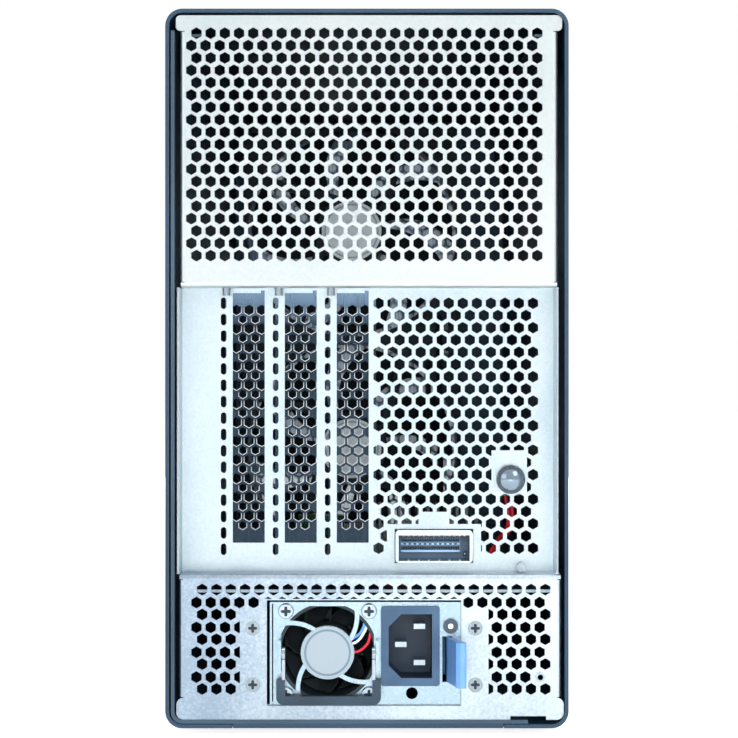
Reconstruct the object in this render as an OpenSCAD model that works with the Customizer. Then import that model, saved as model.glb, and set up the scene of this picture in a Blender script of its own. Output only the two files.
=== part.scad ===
// A tower expansion chassis for full-length computer cards, modelled from its rear.
// The rear faces -Y and +Z is up. The origin is on the floor, under the middle of the box round the part.

/* [Case] */
// Width over the painted cover
case_w = 155.3; // [155:0.1:190]
// Height of the painted cover, without the feet
case_h = 277; // [277:0.5:340]
// Depth from the rear edge of the cover to the face of the bezel
case_d = 412; // [405:1:520]
// Outer corner radius of the cover
case_r = 6.6; // [5.5:0.1:8]
// Thickness of the painted cover
cover_t = 1.5; // [1.2:0.1:1.8]
// Thickness of the painted inner tray
tray_t = 1.4; // [1:0.1:1.6]
// Depth of the front bezel
bezel_d = 16; // [14:0.5:30]
// Height of the rubber feet
foot_h = 4; // [3:0.5:12]
// Diameter of the rubber feet
foot_d = 14; // [10:0.5:20]

/* [Rear panels] */
// Thickness of the galvanised sheets
sheet_t = 1; // [0.8:0.1:1.2]
// Distance from the cover's rear edge to the outer panels
panel_inset = 1; // [0.5:0.1:3]
// Depth of the slot panel behind the outer panels
recess_d = 12; // [10:0.5:16]
// Height of the ledge under the slot panel, above the underside of the case
ledge_z = 59.2; // [59:0.1:62]
// Height of the underside of the lip over the slot panel, above the underside of the case
lip_z = 169.8; // [168:0.1:180]
// Width across the flats of a vent hole
hex_af = 4; // [3:0.1:4.3]
// Distance between the vent holes of a row
hex_pitch = 5.487; // [5.3:0.001:6.5]
// Height of a row of vent holes
hex_row = 4.786; // [4.7:0.001:5.8]

/* [Card slots] */
// Distance between card slots
slot_pitch = 20.32; // [20.32:0.01:22]
// Width of a slot opening
slot_w = 12.5; // [11:0.1:13]
// Distance from the side of the case to the first slot
slot_first = 31.45; // [30:0.05:36]
// Length of a card socket
socket_l = 89; // [80:0.5:95]

/* [Fans] */
// Size of a chassis fan
fan_s = 120; // [116:0.5:120]
// Depth of a chassis fan
fan_d = 25; // [20:0.5:38]
// Distance between the screws of a chassis fan
fan_screw_s = 105; // [100:0.5:105]

/* [Power supply] */
// Width of the power supply
psu_w = 73.5; // [72:0.1:74]
// Height of the power supply
psu_h = 39.3; // [39:0.1:39.6]
// Length of the power supply behind its face
psu_l = 185; // [160:1:200]
// Running gap round the power supply in its bay
psu_gap = 0.7; // [0.4:0.1:0.7]
// Size of the power supply's fan
psu_fan_s = 38; // [36:0.1:38]
// Distance between the screws of that fan
psu_fan_screw_s = 32; // [30:0.1:32]
// Reach of the release latch behind the case
latch_out = 19; // [14:0.5:24]

/* [Button and port] */
// Diameter of the button's ring
button_ring_d = 11.2; // [11:0.1:12]
// Diameter of the button's cap
button_cap_d = 8.1; // [7:0.1:8.1]
// Travel of the button
button_travel = 1.5; // [1:0.1:2]
// Width of the link port's cage
port_w = 30.1; // [28:0.1:31]
// Height of the link port's cage
port_h = 12.8; // [12:0.1:13]

/* [Hidden] */
$fn = 64;

// Overrun of a cut past the face that it opens
over = 0.5;
// A quarter turn, in degrees
quarter = 90;
// Clearance round a screw in its hole
screw_gap = 0.1;
// Radial gap of a shaft that turns in its bore
run_gap = 0.05;
// Slip gap between sheets that pass each other
slip = 0.3;

// Main planes and edges
under_z = foot_h;
left_x = -case_w / 2;
right_x = case_w / 2;
rear_y = (latch_out - case_d) / 2;
front_y = rear_y + case_d;
panel_y = rear_y + panel_inset;
slot_y = panel_y + recess_d;
bezel_y = front_y - bezel_d;
bracket_t = 1;
bracket_y = bezel_y - bracket_t;
fan_y = bracket_y - fan_d;
tray_gap = 0.25;
tray_z = under_z + cover_t + tray_gap;
tray_top = tray_z + tray_t;
case_top = under_z + case_h;
ledge_top = under_z + ledge_z;
lip_under = under_z + lip_z;

// Sheet ends, measured in from the sides of the cover
tray_side_gap = 0.65;
tray_x = left_x + cover_t + tray_side_gap;
tray_in_x = tray_x + tray_t;
upper_left_in = 5.65;
upper_right_in = 4.05;
upper_l = left_x + upper_left_in;
upper_r = right_x - upper_right_in;
slot_side_left = 4.25;
slot_side_right = 3.65;
slot_l = left_x + slot_side_left;
slot_r = right_x - slot_side_right;
lower_left_in = 5.15;
lower_right_in = 2.65;
lower_l = left_x + lower_left_in;
lower_r = right_x - lower_right_in;
bend_r = 1.8;

// Shelf and boards
shelf_t = 1.1;
shelf_drop = 6;
shelf_top = ledge_top - shelf_drop;
board_t = 1.6;
board_lift = 3.8;
board_z = shelf_top + board_lift;
board_top = board_z + board_t;

// Power supply in its bay
bay_mid = -1.125;
bay_in_left = bay_mid - psu_w / 2 - psu_gap;
bay_in_right = bay_mid + psu_w / 2 + psu_gap;
psu_side_share = 0.7;
psu_l_x = bay_mid - psu_w / 2 + psu_gap * psu_side_share;
psu_x = psu_l_x + psu_w;
psu_rise = 6.05;
psu_z = tray_top + psu_rise;
psu_top = psu_z + psu_h;
psu_y = panel_y;
psu_end = psu_y + psu_l;

function slot_x(i) = left_x + slot_first + i * slot_pitch;

// A box between two corners
module block(low, high) {
  translate(low) cube(high - low);
}

// A flat outline in X and Z made into an upright sheet from y to y + t
module upright(y, t) {
  translate([0, y + t, 0]) rotate([quarter, 0, 0]) linear_extrude(t) children();
}

// An outline in Y and Z drawn along X from x, over a length
module along_x(x, length) {
  translate([x, 0, 0]) rotate([quarter, 0, quarter]) linear_extrude(length) children();
}

// A round bar along +Y
module bar_y(x, y, z, d, length) {
  translate([x, y, z]) rotate([-quarter, 0, 0]) cylinder(d = d, h = length);
}

// A rectangle between two corners
module rect(low, high) {
  translate(low) square(high - low);
}

// A rectangle with round corners
module round_rect(low, high, r) {
  size = high - low;
  translate(low) {
    translate([r, 0]) square([size[0] - 2 * r, size[1]]);
    translate([0, r]) square([size[0], size[1] - 2 * r]);
    for (x = [r, size[0] - r], z = [r, size[1] - r]) translate([x, z]) circle(r);
  }
}

// A vent hole with a point at its top and bottom
module hex_hole(af = hex_af) {
  rotate(quarter / 3) circle(d = af / cos(quarter / 3), $fn = 6);
}

// A grid of vent holes, first hole at the upper left
module hex_grid(x, z, columns, rows, pitch, row, af = hex_af) {
  for (i = [0 : columns - 1], k = [0 : rows - 1])
    translate([x + i * pitch, z - k * row]) hex_hole(af);
}

// How many steps of a pitch fit in a length, or almost fit
near_fit = 0.02;
function steps(length, pitch) = floor(length / pitch + near_fit);

// A quarter of a ring round the origin, in the quadrant given by the two signs
module quarter_ring(r, t, sx, sy) {
  intersection() {
    difference() {
      circle(r);
      circle(r - t);
    }
    rect([min(0, sx * r), min(0, sy * r)], [max(0, sx * r), max(0, sy * r)]);
  }
}

// Points of a smooth line through the points p, with n steps from each to the next
function spline_point(a, b, c, d, u) =
  (2 * b + (c - a) * u + (2 * a - 5 * b + 4 * c - d) * u * u
    + (3 * b - a - 3 * c + d) * u * u * u) / 2;
function spline(p, n) = [
  for (i = [0 : len(p) - 2], k = [0 : n - 1])
    spline_point(p[max(i - 1, 0)], p[i], p[i + 1], p[min(i + 2, len(p) - 1)], k / n),
  p[len(p) - 1]
];
function unit(v) = v / norm(v);
function heading(p, i) = unit(p[min(i + 1, len(p) - 1)] - p[max(i - 1, 0)]);
// The side of each ring turns as little as it can from one ring to the next
function sides_of(p) = [
  for (i = 0, t = heading(p, 0), s = unit(cross(t, abs(t[2]) > 0.9 ? [1, 0, 0] : [0, 0, 1]));
       i < len(p);
       i = i + 1, t = heading(p, min(i, len(p) - 1)), s = unit(s - (s * t) * t))
    s
];

// A round wire or cable along the points p
module wire(p, d, n = 8) {
  s = sides_of(p);
  points = [
    for (i = [0 : len(p) - 1], k = [0 : n - 1])
      let (t = heading(p, i), a = 4 * quarter * k / n)
        p[i] + d / 2 * (cos(a) * s[i] + sin(a) * cross(t, s[i]))
  ];
  last = (len(p) - 1) * n;
  faces = [
    [for (k = [0 : n - 1]) k],
    for (i = [0 : len(p) - 2], k = [0 : n - 1])
      [i * n + k, (i + 1) * n + k, (i + 1) * n + (k + 1) % n, i * n + (k + 1) % n],
    [for (k = [n - 1 : -1 : 0]) last + k]
  ];
  polyhedron(points, faces);
}

// Painted cover: one sheet over the top and both sides, rolled in under the base.
seam_left_in = 25.75;
seam_right_in = 24.85;
seam_l = left_x + seam_left_in;
seam_r = right_x - seam_right_in;
cover_front_gap = 0.3;
cover_screw_in = 19.4;
cover_screw_end = 40;
cover_screw_d = 3;
cover_screw_head_d = 5.6;
cover_screw_head_t = 1.2;
cover_screw_l = 6;
cover_screw_x = [left_x + cover_screw_in, right_x - cover_screw_in];
cover_screw_y = [rear_y + cover_screw_end, bezel_y - cover_screw_end];
cover_in_r = case_r - cover_t;

module countersink(d, head_d, head_t) {
  cylinder(d = d, h = cover_screw_l, $fn = 32);
  translate([0, 0, -over]) cylinder(d = head_d, h = over, $fn = 32);
  cylinder(d1 = head_d, d2 = d, h = head_t, $fn = 32);
}

module outer_cover() color("darkslategray") {
  difference() {
    upright(rear_y, bezel_y - cover_front_gap - rear_y) difference() {
      round_rect([left_x, under_z], [right_x, case_top], case_r);
      round_rect([left_x + cover_t, under_z + cover_t], [right_x - cover_t, case_top - cover_t],
                 cover_in_r);
      rect([seam_l, under_z - over], [seam_r, under_z + cover_t + over]);
    }
    for (x = cover_screw_x, y = cover_screw_y) translate([x, y, under_z])
      countersink(cover_screw_d + screw_gap, cover_screw_head_d + screw_gap, cover_screw_head_t);
  }
}

// Base plate: welded under the tray, level with the cover's returns.
foot_in = 42;
foot_x = [seam_l + foot_d, seam_r - foot_d];
foot_y = [rear_y + foot_in, bezel_y - foot_in];

module base_plate() color("darkslategray") {
  block([seam_l + slip, rear_y + slip, under_z], [seam_r - slip, bezel_y - slip, tray_z]);
}

// Inner tray: left wall and floor of one painted sheet, joined by a round corner.
tray_corner = case_r - cover_t - tray_side_gap;
tray_wall_in = 8.4;
tray_right_in = 15.6;
tray_wall_top = case_top - tray_wall_in;

module inner_tray() color("slategray") {
  difference() {
    upright(rear_y + slip, bezel_y - rear_y - slip) {
      rect([tray_x, tray_z + tray_corner], [tray_in_x, tray_wall_top]);
      rect([tray_x + tray_corner, tray_z], [right_x - tray_right_in, tray_top]);
      translate([tray_x + tray_corner, tray_z + tray_corner])
        quarter_ring(tray_corner, tray_t, -1, -1);
    }
    for (x = cover_screw_x, y = cover_screw_y) translate([x, y, tray_z - over])
      cylinder(d = cover_screw_d + screw_gap, h = tray_t + 2 * over, $fn = 32);
  }
}

// Cover screws: countersunk, through the cover's returns into the tray.
module cover_screws() color("gray") {
  for (x = cover_screw_x, y = cover_screw_y) translate([x, y, under_z]) difference() {
    union() {
      cylinder(d1 = cover_screw_head_d, d2 = cover_screw_d, h = cover_screw_head_t, $fn = 32);
      cylinder(d = cover_screw_d, h = cover_screw_l, $fn = 32);
    }
    cross_slot(cover_screw_head_d, cover_screw_head_t);
  }
}

// A cross recess cut upwards from the face of a screw head
cross_w_share = 0.16;
cross_l_share = 0.56;
cross_deep_share = 0.6;
module cross_slot(head_d, head_t) {
  w = head_d * cross_w_share;
  l = head_d * cross_l_share;
  deep = head_t * cross_deep_share;
  for (turn = [0, quarter]) rotate(turn) block([-l / 2, -w / 2, -over], [l / 2, w / 2, deep]);
}

// Rubber feet: bonded under the base plate, well in from its edges.
foot_taper = 2;
module rubber_feet() color("black") {
  for (x = foot_x, y = foot_y) translate([x, y, 0])
    cylinder(d1 = foot_d - foot_taper, d2 = foot_d, h = foot_h, $fn = 48);
}

// Upper rear panel: perforated sheet with bent sides and top, and a lip over the slot panel.
upper_top_in = 2.4;
upper_top = case_top - upper_top_in;
upper_corner_r = 3.4;
upper_ear_h = 6;
upper_ear_out = 1.6;
upper_flange = 11;
upper_pitch = 5.473;
upper_row = 4.761;
upper_row_shift = 1.97;
upper_first_x = 6.3;
upper_last_x = 7.7;
upper_first_z = 6.9;
upper_last_z = 10.3;
upper_columns = steps(upper_r - upper_l - upper_first_x - upper_last_x, upper_pitch) + 1;
upper_rows = steps(upper_top - lip_under - upper_first_z - upper_last_z, upper_row) + 1;
lip_end = slot_y + sheet_t;
slot_screw_off = 8.4;
slot_screw_d = 3;
slot_screw_back = 5;

// The two bent edges of a panel, drawn in X and Y and carried up
module side_bends(x0, x1, y, z0, z1, depth) {
  translate([0, 0, z0]) linear_extrude(z1 - z0) {
    translate([x0 + bend_r, y + bend_r]) quarter_ring(bend_r, sheet_t, -1, -1);
    translate([x1 - bend_r, y + bend_r]) quarter_ring(bend_r, sheet_t, 1, -1);
    rect([x0, y + bend_r], [x0 + sheet_t, y + depth]);
    rect([x1 - sheet_t, y + bend_r], [x1, y + depth]);
  }
}

// A bent edge that runs across a panel: up is -1 at the bottom of a sheet and 1 at its top
module cross_bend(x0, x1, y, z, depth, up) {
  along_x(x0, x1 - x0) {
    translate([y + bend_r, z - up * bend_r]) quarter_ring(bend_r, sheet_t, -1, up);
    rect([y + bend_r, min(z, z - up * sheet_t)], [y + depth, max(z, z - up * sheet_t)]);
  }
}

module rear_upper_panel() color("gainsboro") {
  difference() {
    union() {
      upright(panel_y, sheet_t) difference() {
        union() {
          rect([upper_l + bend_r, lip_under + bend_r], [upper_r - bend_r, upper_top - bend_r]);
          round_rect([upper_l - upper_ear_out, upper_top - upper_ear_h],
                     [upper_r + upper_ear_out, upper_top], upper_corner_r / 2);
        }
        for (odd = [0, 1])
          hex_grid(upper_l + upper_first_x - odd * upper_row_shift,
                   upper_top - upper_first_z - odd * upper_row,
                   upper_columns, floor((upper_rows + 1 - odd) / 2), upper_pitch, 2 * upper_row);
      }
      side_bends(upper_l, upper_r, panel_y, lip_under + bend_r + slip,
                 upper_top - upper_ear_h - slip, upper_flange);
      cross_bend(upper_l + slip, upper_r - slip, panel_y, lip_under, lip_end - panel_y, -1);
    }
    for (i = [0 : 2]) translate([slot_x(i) - slot_screw_off, slot_y - slot_screw_back, lip_under - over])
      cylinder(d = slot_screw_d + screw_gap, h = sheet_t + 2 * over, $fn = 32);
  }
}

// Slot panel: set back between the outer panels, with bent returns at its sides.
slot_from_z = 70.4;
slot_to_z = 168;
slot_low = under_z + slot_from_z;
slot_high = lip_under - lip_z + slot_to_z;
notch_w = 1.6;
notch_h = 1;
vent_w = 2.25;
vent_l = 4.5;
vent_pitch = 6.41;
vent_off = 9.8;
vent_first = 5.8;
vent_last = 8.6;
vents = steps(lip_z - vent_first - ledge_z - vent_last, vent_pitch) + 1;
field_off = 10.1;
field_last = 8.75;
field_first_z = 5.8;
field_last_z = 9.1;
field_x = slot_x(2) + field_off;
field_columns = steps(slot_r - field_last - field_x, hex_pitch) + 1;
field_rows = steps(lip_z - field_first_z - ledge_z - field_last_z, hex_row) + 1;
gasket_t = 1.5;

// Link port, placed from the last slot
port_off = 31.75;
port_x = slot_x(2) + port_off;
port_rise = 3.5;
port_z = ledge_top + port_rise;
port_plain = 3.3;
port_plain_top = 2.2;
port_tab_w = 12;
port_tab_h = 4.8;

// Push button, placed from the right side of the case
button_in = 21.55;
button_rise = 36;
button_x = right_x - button_in;
button_z = ledge_top + button_rise;
button_plain_l = 7.4;
button_plain_r = 6.4;
button_plain_low = 5.7;
button_plain_high = 11.3;
button_barrel_d = 9.9;

module vent_slot() {
  square([vent_w, vent_l - vent_w], center = true);
  for (side = [-1, 1]) translate([0, side * (vent_l - vent_w) / 2]) circle(d = vent_w, $fn = 24);
}

module slot_panel_sheet() {
  difference() {
    rect([slot_l + bend_r, ledge_top], [slot_r - bend_r, lip_under]);
    for (odd = [0, 1])
      hex_grid(field_x + odd * hex_pitch / 2, lip_under - field_first_z - odd * hex_row,
               field_columns - odd, floor((field_rows + 1 - odd) / 2), hex_pitch, 2 * hex_row);
    for (i = [0 : 2]) {
      rect([slot_x(i) - slot_w / 2, slot_low], [slot_x(i) + slot_w / 2, slot_high]);
      rect([slot_x(i) + slot_w / 2 - notch_w, slot_high], [slot_x(i) + slot_w / 2, slot_high + notch_h]);
      for (k = [0 : vents - 1])
        translate([slot_x(i) - vent_off, lip_under - vent_first - k * vent_pitch]) vent_slot();
    }
  }
  rect([port_x - port_w / 2 - port_plain, ledge_top],
       [port_x + port_w / 2 + port_plain, port_z + port_h + port_plain_top]);
  rect([port_x - port_tab_w / 2, port_z + port_h],
       [port_x + port_tab_w / 2, port_z + port_h + port_plain_top + port_tab_h]);
  rect([button_x - button_plain_l, button_z - button_plain_low],
       [button_x + button_plain_r, button_z + button_plain_high]);
}

module rear_slot_panel() color("gainsboro") {
  difference() {
    union() {
      upright(slot_y, sheet_t) difference() {
        slot_panel_sheet();
        rect([port_x - port_w / 2 - slip, port_z - slip],
             [port_x + port_w / 2 + slip, port_z + port_h + slip]);
        translate([button_x, button_z]) circle(d = button_barrel_d + 2 * screw_gap);
      }
      translate([0, 0, ledge_top]) linear_extrude(lip_under - ledge_top) {
        translate([slot_l + bend_r, slot_y + sheet_t - bend_r]) quarter_ring(bend_r, sheet_t, -1, 1);
        translate([slot_r - bend_r, slot_y + sheet_t - bend_r]) quarter_ring(bend_r, sheet_t, 1, 1);
        rect([slot_l, panel_y + gasket_t], [slot_l + sheet_t, slot_y + sheet_t - bend_r]);
        rect([slot_r - sheet_t, panel_y + gasket_t], [slot_r, slot_y + sheet_t - bend_r]);
      }
    }
  }
}

// Gasket strips: knitted wire pressed on to the rear edges of the slot panel's returns.
module panel_gaskets() color("silver") {
  for (x = [slot_l, slot_r - sheet_t])
    block([x, panel_y, ledge_top + slip], [x + sheet_t, panel_y + gasket_t, lip_under - slip]);
}

// Lower rear panel: perforated sheet with the power supply's opening and a ledge along its top.
lower_ear_top = 8.45;
lower_ear_l = 0.9;
lower_ear_r = 0.85;
lower_corner_r = 2.7;
lower_flange = 10;
lower_pitch = 5.51;
lower_row = 9.57;
lower_first_x = 9;
lower_last_x = 6.2;
lower_first_z = 5.9;
lower_odd_z = 10.9;
lower_odd_x = 2.2;
lower_columns = steps(lower_r - lower_l - lower_first_x - lower_last_x, lower_pitch) + 1;
lower_rows = 5;
plain_out_left = 10.35;
plain_out_right = 10.5;
plain_low = 8;
plain_high = 13;
plain_top_left = 1.5;
plain_top_right = 0.6;
lower_notch_in = 8.6;
lower_notch_w = 13.8;
lower_notch_h = 1.4;
eyelet_in = 10.85;
eyelet_rise = 16.4;
eyelet_x = right_x - eyelet_in;
eyelet_z = tray_top + eyelet_rise;
eyelet_d = 3.7;
eyelet_bore = 2.2;
eyelet_plain = 3;
stud_in = 17.45;
stud_d = 3.7;
stud_l = 4;
bay_flange = 9;
bay_screw_in = 5.45;
bay_screw_d = 3;
bay_screw_head_d = 5.75;
bay_screw_head_t = 1;
bay_screw_l = 5;
bay_screw_low = 13.45;
bay_screw_pitch = 21.8;
bay_screw_x = [bay_in_left - bay_screw_in, bay_in_right + bay_screw_in];
bay_screw_z = [tray_top + bay_screw_low, tray_top + bay_screw_low + bay_screw_pitch];

module lower_panel_sheet() {
  difference() {
    union() {
      rect([lower_l + bend_r, tray_top + lower_ear_top], [lower_r - bend_r, ledge_top - bend_r]);
      round_rect([lower_l - lower_ear_l, tray_top], [lower_r + lower_ear_r, tray_top + lower_ear_top],
                 lower_corner_r);
    }
    for (odd = [0, 1])
      hex_grid(lower_l + lower_first_x - odd * lower_odd_x,
               ledge_top - lower_first_z - odd * (lower_odd_z - lower_first_z),
               lower_columns, lower_rows - odd, lower_pitch, lower_row);
  }
  rect([bay_in_left - plain_out_left, tray_top + plain_low],
       [bay_in_right + plain_out_right, ledge_top - plain_high]);
  rect([bay_in_left - plain_top_left, ledge_top - plain_high - over],
       [bay_in_right + plain_top_right, psu_top + psu_gap + over]);
  translate([eyelet_x, eyelet_z]) circle(r = eyelet_plain);
}

module rear_lower_panel() color("gainsboro") {
  difference() {
    union() {
      upright(panel_y, sheet_t) difference() {
        lower_panel_sheet();
        rect([bay_in_left, psu_z - psu_gap], [bay_in_right, psu_top + psu_gap]);
        rect([right_x - lower_notch_in - lower_notch_w, tray_top - over],
             [right_x - lower_notch_in, tray_top + lower_notch_h]);
        translate([eyelet_x, eyelet_z]) circle(d = eyelet_d - 2 * slip + screw_gap, $fn = 32);
      }
      side_bends(lower_l, lower_r, panel_y, tray_top + lower_ear_top + slip,
                 ledge_top - bend_r - slip, lower_flange);
      cross_bend(lower_l + slip, lower_r - slip, panel_y, ledge_top, lip_end - panel_y, 1);
    }
    for (x = bay_screw_x, z = bay_screw_z) translate([x, panel_y, z]) rotate([-quarter, 0, 0])
      countersink(bay_screw_d + screw_gap, bay_screw_head_d + screw_gap, bay_screw_head_t);
  }
}

// Slot covers: perforated strips behind the openings, bent back over the lip at the top.
cover_strip_w = 18.4;
cover_strip_t = 0.8;
strip_hex_af = 3.6;
strip_small_share = 0.8;
strip_pitch = 4.93;
strip_row = 3.66;
strip_first = 8.4;
strip_last = 17.2;
strip_low_in = 3;
strip_low = ledge_top + strip_low_in;
strip_rows = steps(lip_z - strip_first - ledge_z - strip_last, strip_row) + 1;
strip_top = lip_under + sheet_t + cover_strip_t;
tab_back = 9;
strip_play = 0.8;
strip_play_shares = [0.1, -1, -0.2];

module slot_cover(i) color("darkgray") {
  x = slot_x(i) + strip_play * strip_play_shares[i];
  y = slot_y + sheet_t;
  upright(y, cover_strip_t) difference() {
    rect([x - cover_strip_w / 2, strip_low], [x + cover_strip_w / 2, strip_top - cover_strip_t]);
    hex_grid(x - strip_pitch, lip_under - strip_first, 3, floor((strip_rows + 1) / 2),
             strip_pitch, 2 * strip_row, strip_hex_af);
    hex_grid(x - strip_pitch / 2, lip_under - strip_first - strip_row, 2, floor(strip_rows / 2),
             strip_pitch, 2 * strip_row, strip_hex_af * strip_small_share);
  }
  difference() {
    block([x - cover_strip_w / 2, slot_y - tab_back, lip_under + sheet_t],
          [x + cover_strip_w / 2, y + cover_strip_t, strip_top]);
    translate([slot_x(i) - slot_screw_off, slot_y - slot_screw_back, lip_under])
      cylinder(d = slot_screw_d + screw_gap, h = sheet_t + cover_strip_t + over, $fn = 32);
  }
}
module slot_cover_left() slot_cover(0);
module slot_cover_middle() slot_cover(1);
module slot_cover_right() slot_cover(2);

// Slot screws: down through the cover tabs, with their ends showing under the lip.
slot_screw_head_d = 5.6;
slot_screw_head_t = 2;
slot_screw_end = 3;
module slot_screws() color("silver") {
  for (i = [0 : 2]) translate([slot_x(i) - slot_screw_off, slot_y - slot_screw_back, strip_top]) {
    mirror([0, 0, 1]) cylinder(d = slot_screw_d, h = cover_strip_t + sheet_t + slot_screw_end, $fn = 32);
    difference() {
      cylinder(d = slot_screw_head_d, h = slot_screw_head_t, $fn = 32);
      translate([0, 0, slot_screw_head_t]) mirror([0, 0, 1])
        cross_slot(slot_screw_head_d, slot_screw_head_t);
    }
  }
}

// Stud pressed into the ledge, and the grounding eyelet in the lower panel.
module ledge_stud() color("silver") {
  bar_y(right_x - stud_in, slot_y - stud_l, ledge_top + stud_d / 2, stud_d, stud_l);
}

eyelet_rim_t = 0.6;
module ground_eyelet() color("silver") {
  difference() {
    union() {
      bar_y(eyelet_x, panel_y - eyelet_rim_t, eyelet_z, eyelet_d, eyelet_rim_t);
      bar_y(eyelet_x, panel_y - eyelet_rim_t, eyelet_z, eyelet_d - 2 * slip, 2 * eyelet_rim_t + sheet_t);
    }
    bar_y(eyelet_x, panel_y - eyelet_rim_t - over, eyelet_z, eyelet_bore,
          2 * eyelet_rim_t + sheet_t + 2 * over);
  }
}

// Divider shelf: a flat sheet on the bay's walls that carries the backplane.
shelf_side = 0.3;
shelf_front_gap = 2;
shelf_l = lower_l + sheet_t + shelf_side;
shelf_r = lower_r - sheet_t - shelf_side;
hatch_w = 24;
hatch_l = 14;
hatch_x = -34;
hatch_gap = 3;
board_side_l = 9.65;
board_side_r = 15.65;
board_back = 5;
board_l = 199;
board_x = left_x + board_side_l;
board_r = right_x - board_side_r;
board_y = slot_y + board_back;
board_end = board_y + board_l;
hatch_room = 25;
hatch_y = max(board_end, psu_end + hatch_room) + hatch_gap;
standoff_d = 5;
standoff_in = 6;
standoff_x = [board_x + standoff_in, board_r - standoff_in];
standoff_y = [for (k = [0 : 2]) board_y + standoff_in + k * (board_l / 2 - standoff_in)];
board_screw_d = 3;
board_screw_head_d = 5.6;
board_screw_head_t = 2;

module divider_shelf() color("lightgray") {
  difference() {
    block([shelf_l, panel_y + sheet_t, shelf_top - shelf_t],
          [shelf_r, fan_y - shelf_front_gap, shelf_top]);
    block([hatch_x, hatch_y, shelf_top - shelf_t - over],
          [hatch_x + hatch_w, hatch_y + hatch_l, shelf_top + over]);
    for (x = standoff_x, y = standoff_y) translate([x, y, shelf_top - shelf_t - over])
      cylinder(d = board_screw_d + screw_gap, h = shelf_t + 2 * over, $fn = 32);
  }
}

// Top rails: two angles that tie the upper panel to the fan bracket.
rail_h = 14;
rail_w = 8;
rail_drop = 7;
rail_top = upper_top - rail_drop;
module top_rails() color("lightgray") {
  for (side = [0, 1]) {
    web_l = side == 0 ? upper_l + sheet_t : upper_r - 2 * sheet_t;
    flange_l = side == 0 ? web_l : web_l + sheet_t - rail_w;
    block([web_l, panel_y + bend_r + slip, rail_top - rail_h], [web_l + sheet_t, bracket_y, rail_top]);
    block([flange_l, panel_y + bend_r + slip, rail_top - sheet_t],
          [flange_l + rail_w, fan_y - shelf_front_gap, rail_top]);
  }
}

// Fan bracket: an upright sheet behind the bezel, with an opening for each fan.
fan_mid = 68.8;
fan_x = left_x + fan_mid;
fan_top_gap = 2.5;
fan_z = [case_top - fan_top_gap - fan_s / 2, case_top - fan_top_gap - 3 * fan_s / 2];
fan_bore_in = 3;
fan_bore = fan_s - fan_bore_in;
fan_screw_d = 4;
bracket_side = 0.35;
bracket_corner = 4.2;

module bracket_outline() {
  round_rect([tray_in_x, tray_top], [right_x - cover_t - bracket_side, upper_top], bracket_corner);
}

module fan_bracket() color("lightgray") {
  upright(bracket_y, bracket_t) difference() {
    bracket_outline();
    for (z = fan_z) translate([fan_x, z]) {
      circle(d = fan_bore);
      for (sx = [-1, 1], sz = [-1, 1]) translate([sx, sz] * fan_screw_s / 2)
        circle(d = fan_screw_d + screw_gap, $fn = 32);
    }
  }
}

// Chassis fan frame: two square flanges on a round duct, with the motor's seat on rear struts.
fan_flange_t = 4;
fan_corner = 5;
fan_wall = 1.2;
fan_seat_d = 38;
fan_seat_t = 3.5;
fan_strut_w = 5;
fan_strut_off = 12;
fan_strut_t = 3;
fan_shaft_d = 3;
fan_tube_d = 8;
fan_tube_l = 16;

module fan_frame(z) color("dimgray") {
  translate([fan_x, fan_y, z]) rotate([-quarter, 0, 0]) difference() {
    union() {
      difference() {
        union() {
          for (h = [0, fan_d - fan_flange_t]) translate([0, 0, h]) linear_extrude(fan_flange_t)
            round_rect([-fan_s / 2, -fan_s / 2], [fan_s / 2, fan_s / 2], fan_corner);
          cylinder(d = fan_bore + 2 * fan_wall, h = fan_d);
        }
        translate([0, 0, -over]) cylinder(d = fan_bore, h = fan_d + 2 * over);
        for (sx = [-1, 1], sz = [-1, 1]) translate([sx * fan_screw_s / 2, sz * fan_screw_s / 2, -over])
          cylinder(d = fan_screw_d + screw_gap, h = fan_d + 2 * over, $fn = 32);
      }
      cylinder(d = fan_seat_d, h = fan_seat_t);
      for (turn = [0 : quarter : 3 * quarter]) rotate(turn + quarter / 6)
        block([0, fan_strut_off, 0], [fan_bore / 2, fan_strut_off + fan_strut_w, fan_strut_t]);
      cylinder(d = fan_tube_d, h = fan_tube_l);
    }
    translate([0, 0, fan_seat_t / 2])
      cylinder(d = fan_shaft_d + 2 * run_gap, h = fan_tube_l + over, $fn = 32);
  }
}
module fan_frame_upper() fan_frame(fan_z[0]);
module fan_frame_lower() fan_frame(fan_z[1]);

// Fan rotor: cup hub on a shaft, with seven pitched blades.
hub_d = 40;
hub_wall = 1.5;
hub_gap = 1;
blade_tip_gap = 1.5;
blade_t = 1.4;
blade_h = 17;
blade_pitch = 48;
blade_count = 7;

module rotor(d, hub_dia, depth, seat, blades, height, pitch, t, shaft) {
  base = seat + hub_gap;
  // The blades turn inside the duct, and the cup covers the bearing tube
  difference() {
    union() {
      translate([0, 0, base]) cylinder(d = hub_dia, h = depth - base - hub_wall);
      intersection() {
        translate([0, 0, base + hub_wall]) cylinder(d = d, h = height);
        for (k = [0 : blades - 1]) rotate(4 * quarter * k / blades)
          translate([0, 0, base + hub_wall + height / 2]) rotate([pitch, 0, 0])
            block([hub_dia / 2 - t, -t / 2, -height], [d / 2 + t, t / 2, height]);
      }
    }
    translate([0, 0, seat]) cylinder(d = hub_dia - 2 * hub_wall, h = depth - seat - 3 * hub_wall);
  }
  translate([0, 0, seat]) cylinder(d = shaft, h = depth - 2 * hub_wall - seat, $fn = 32);
}

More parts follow.
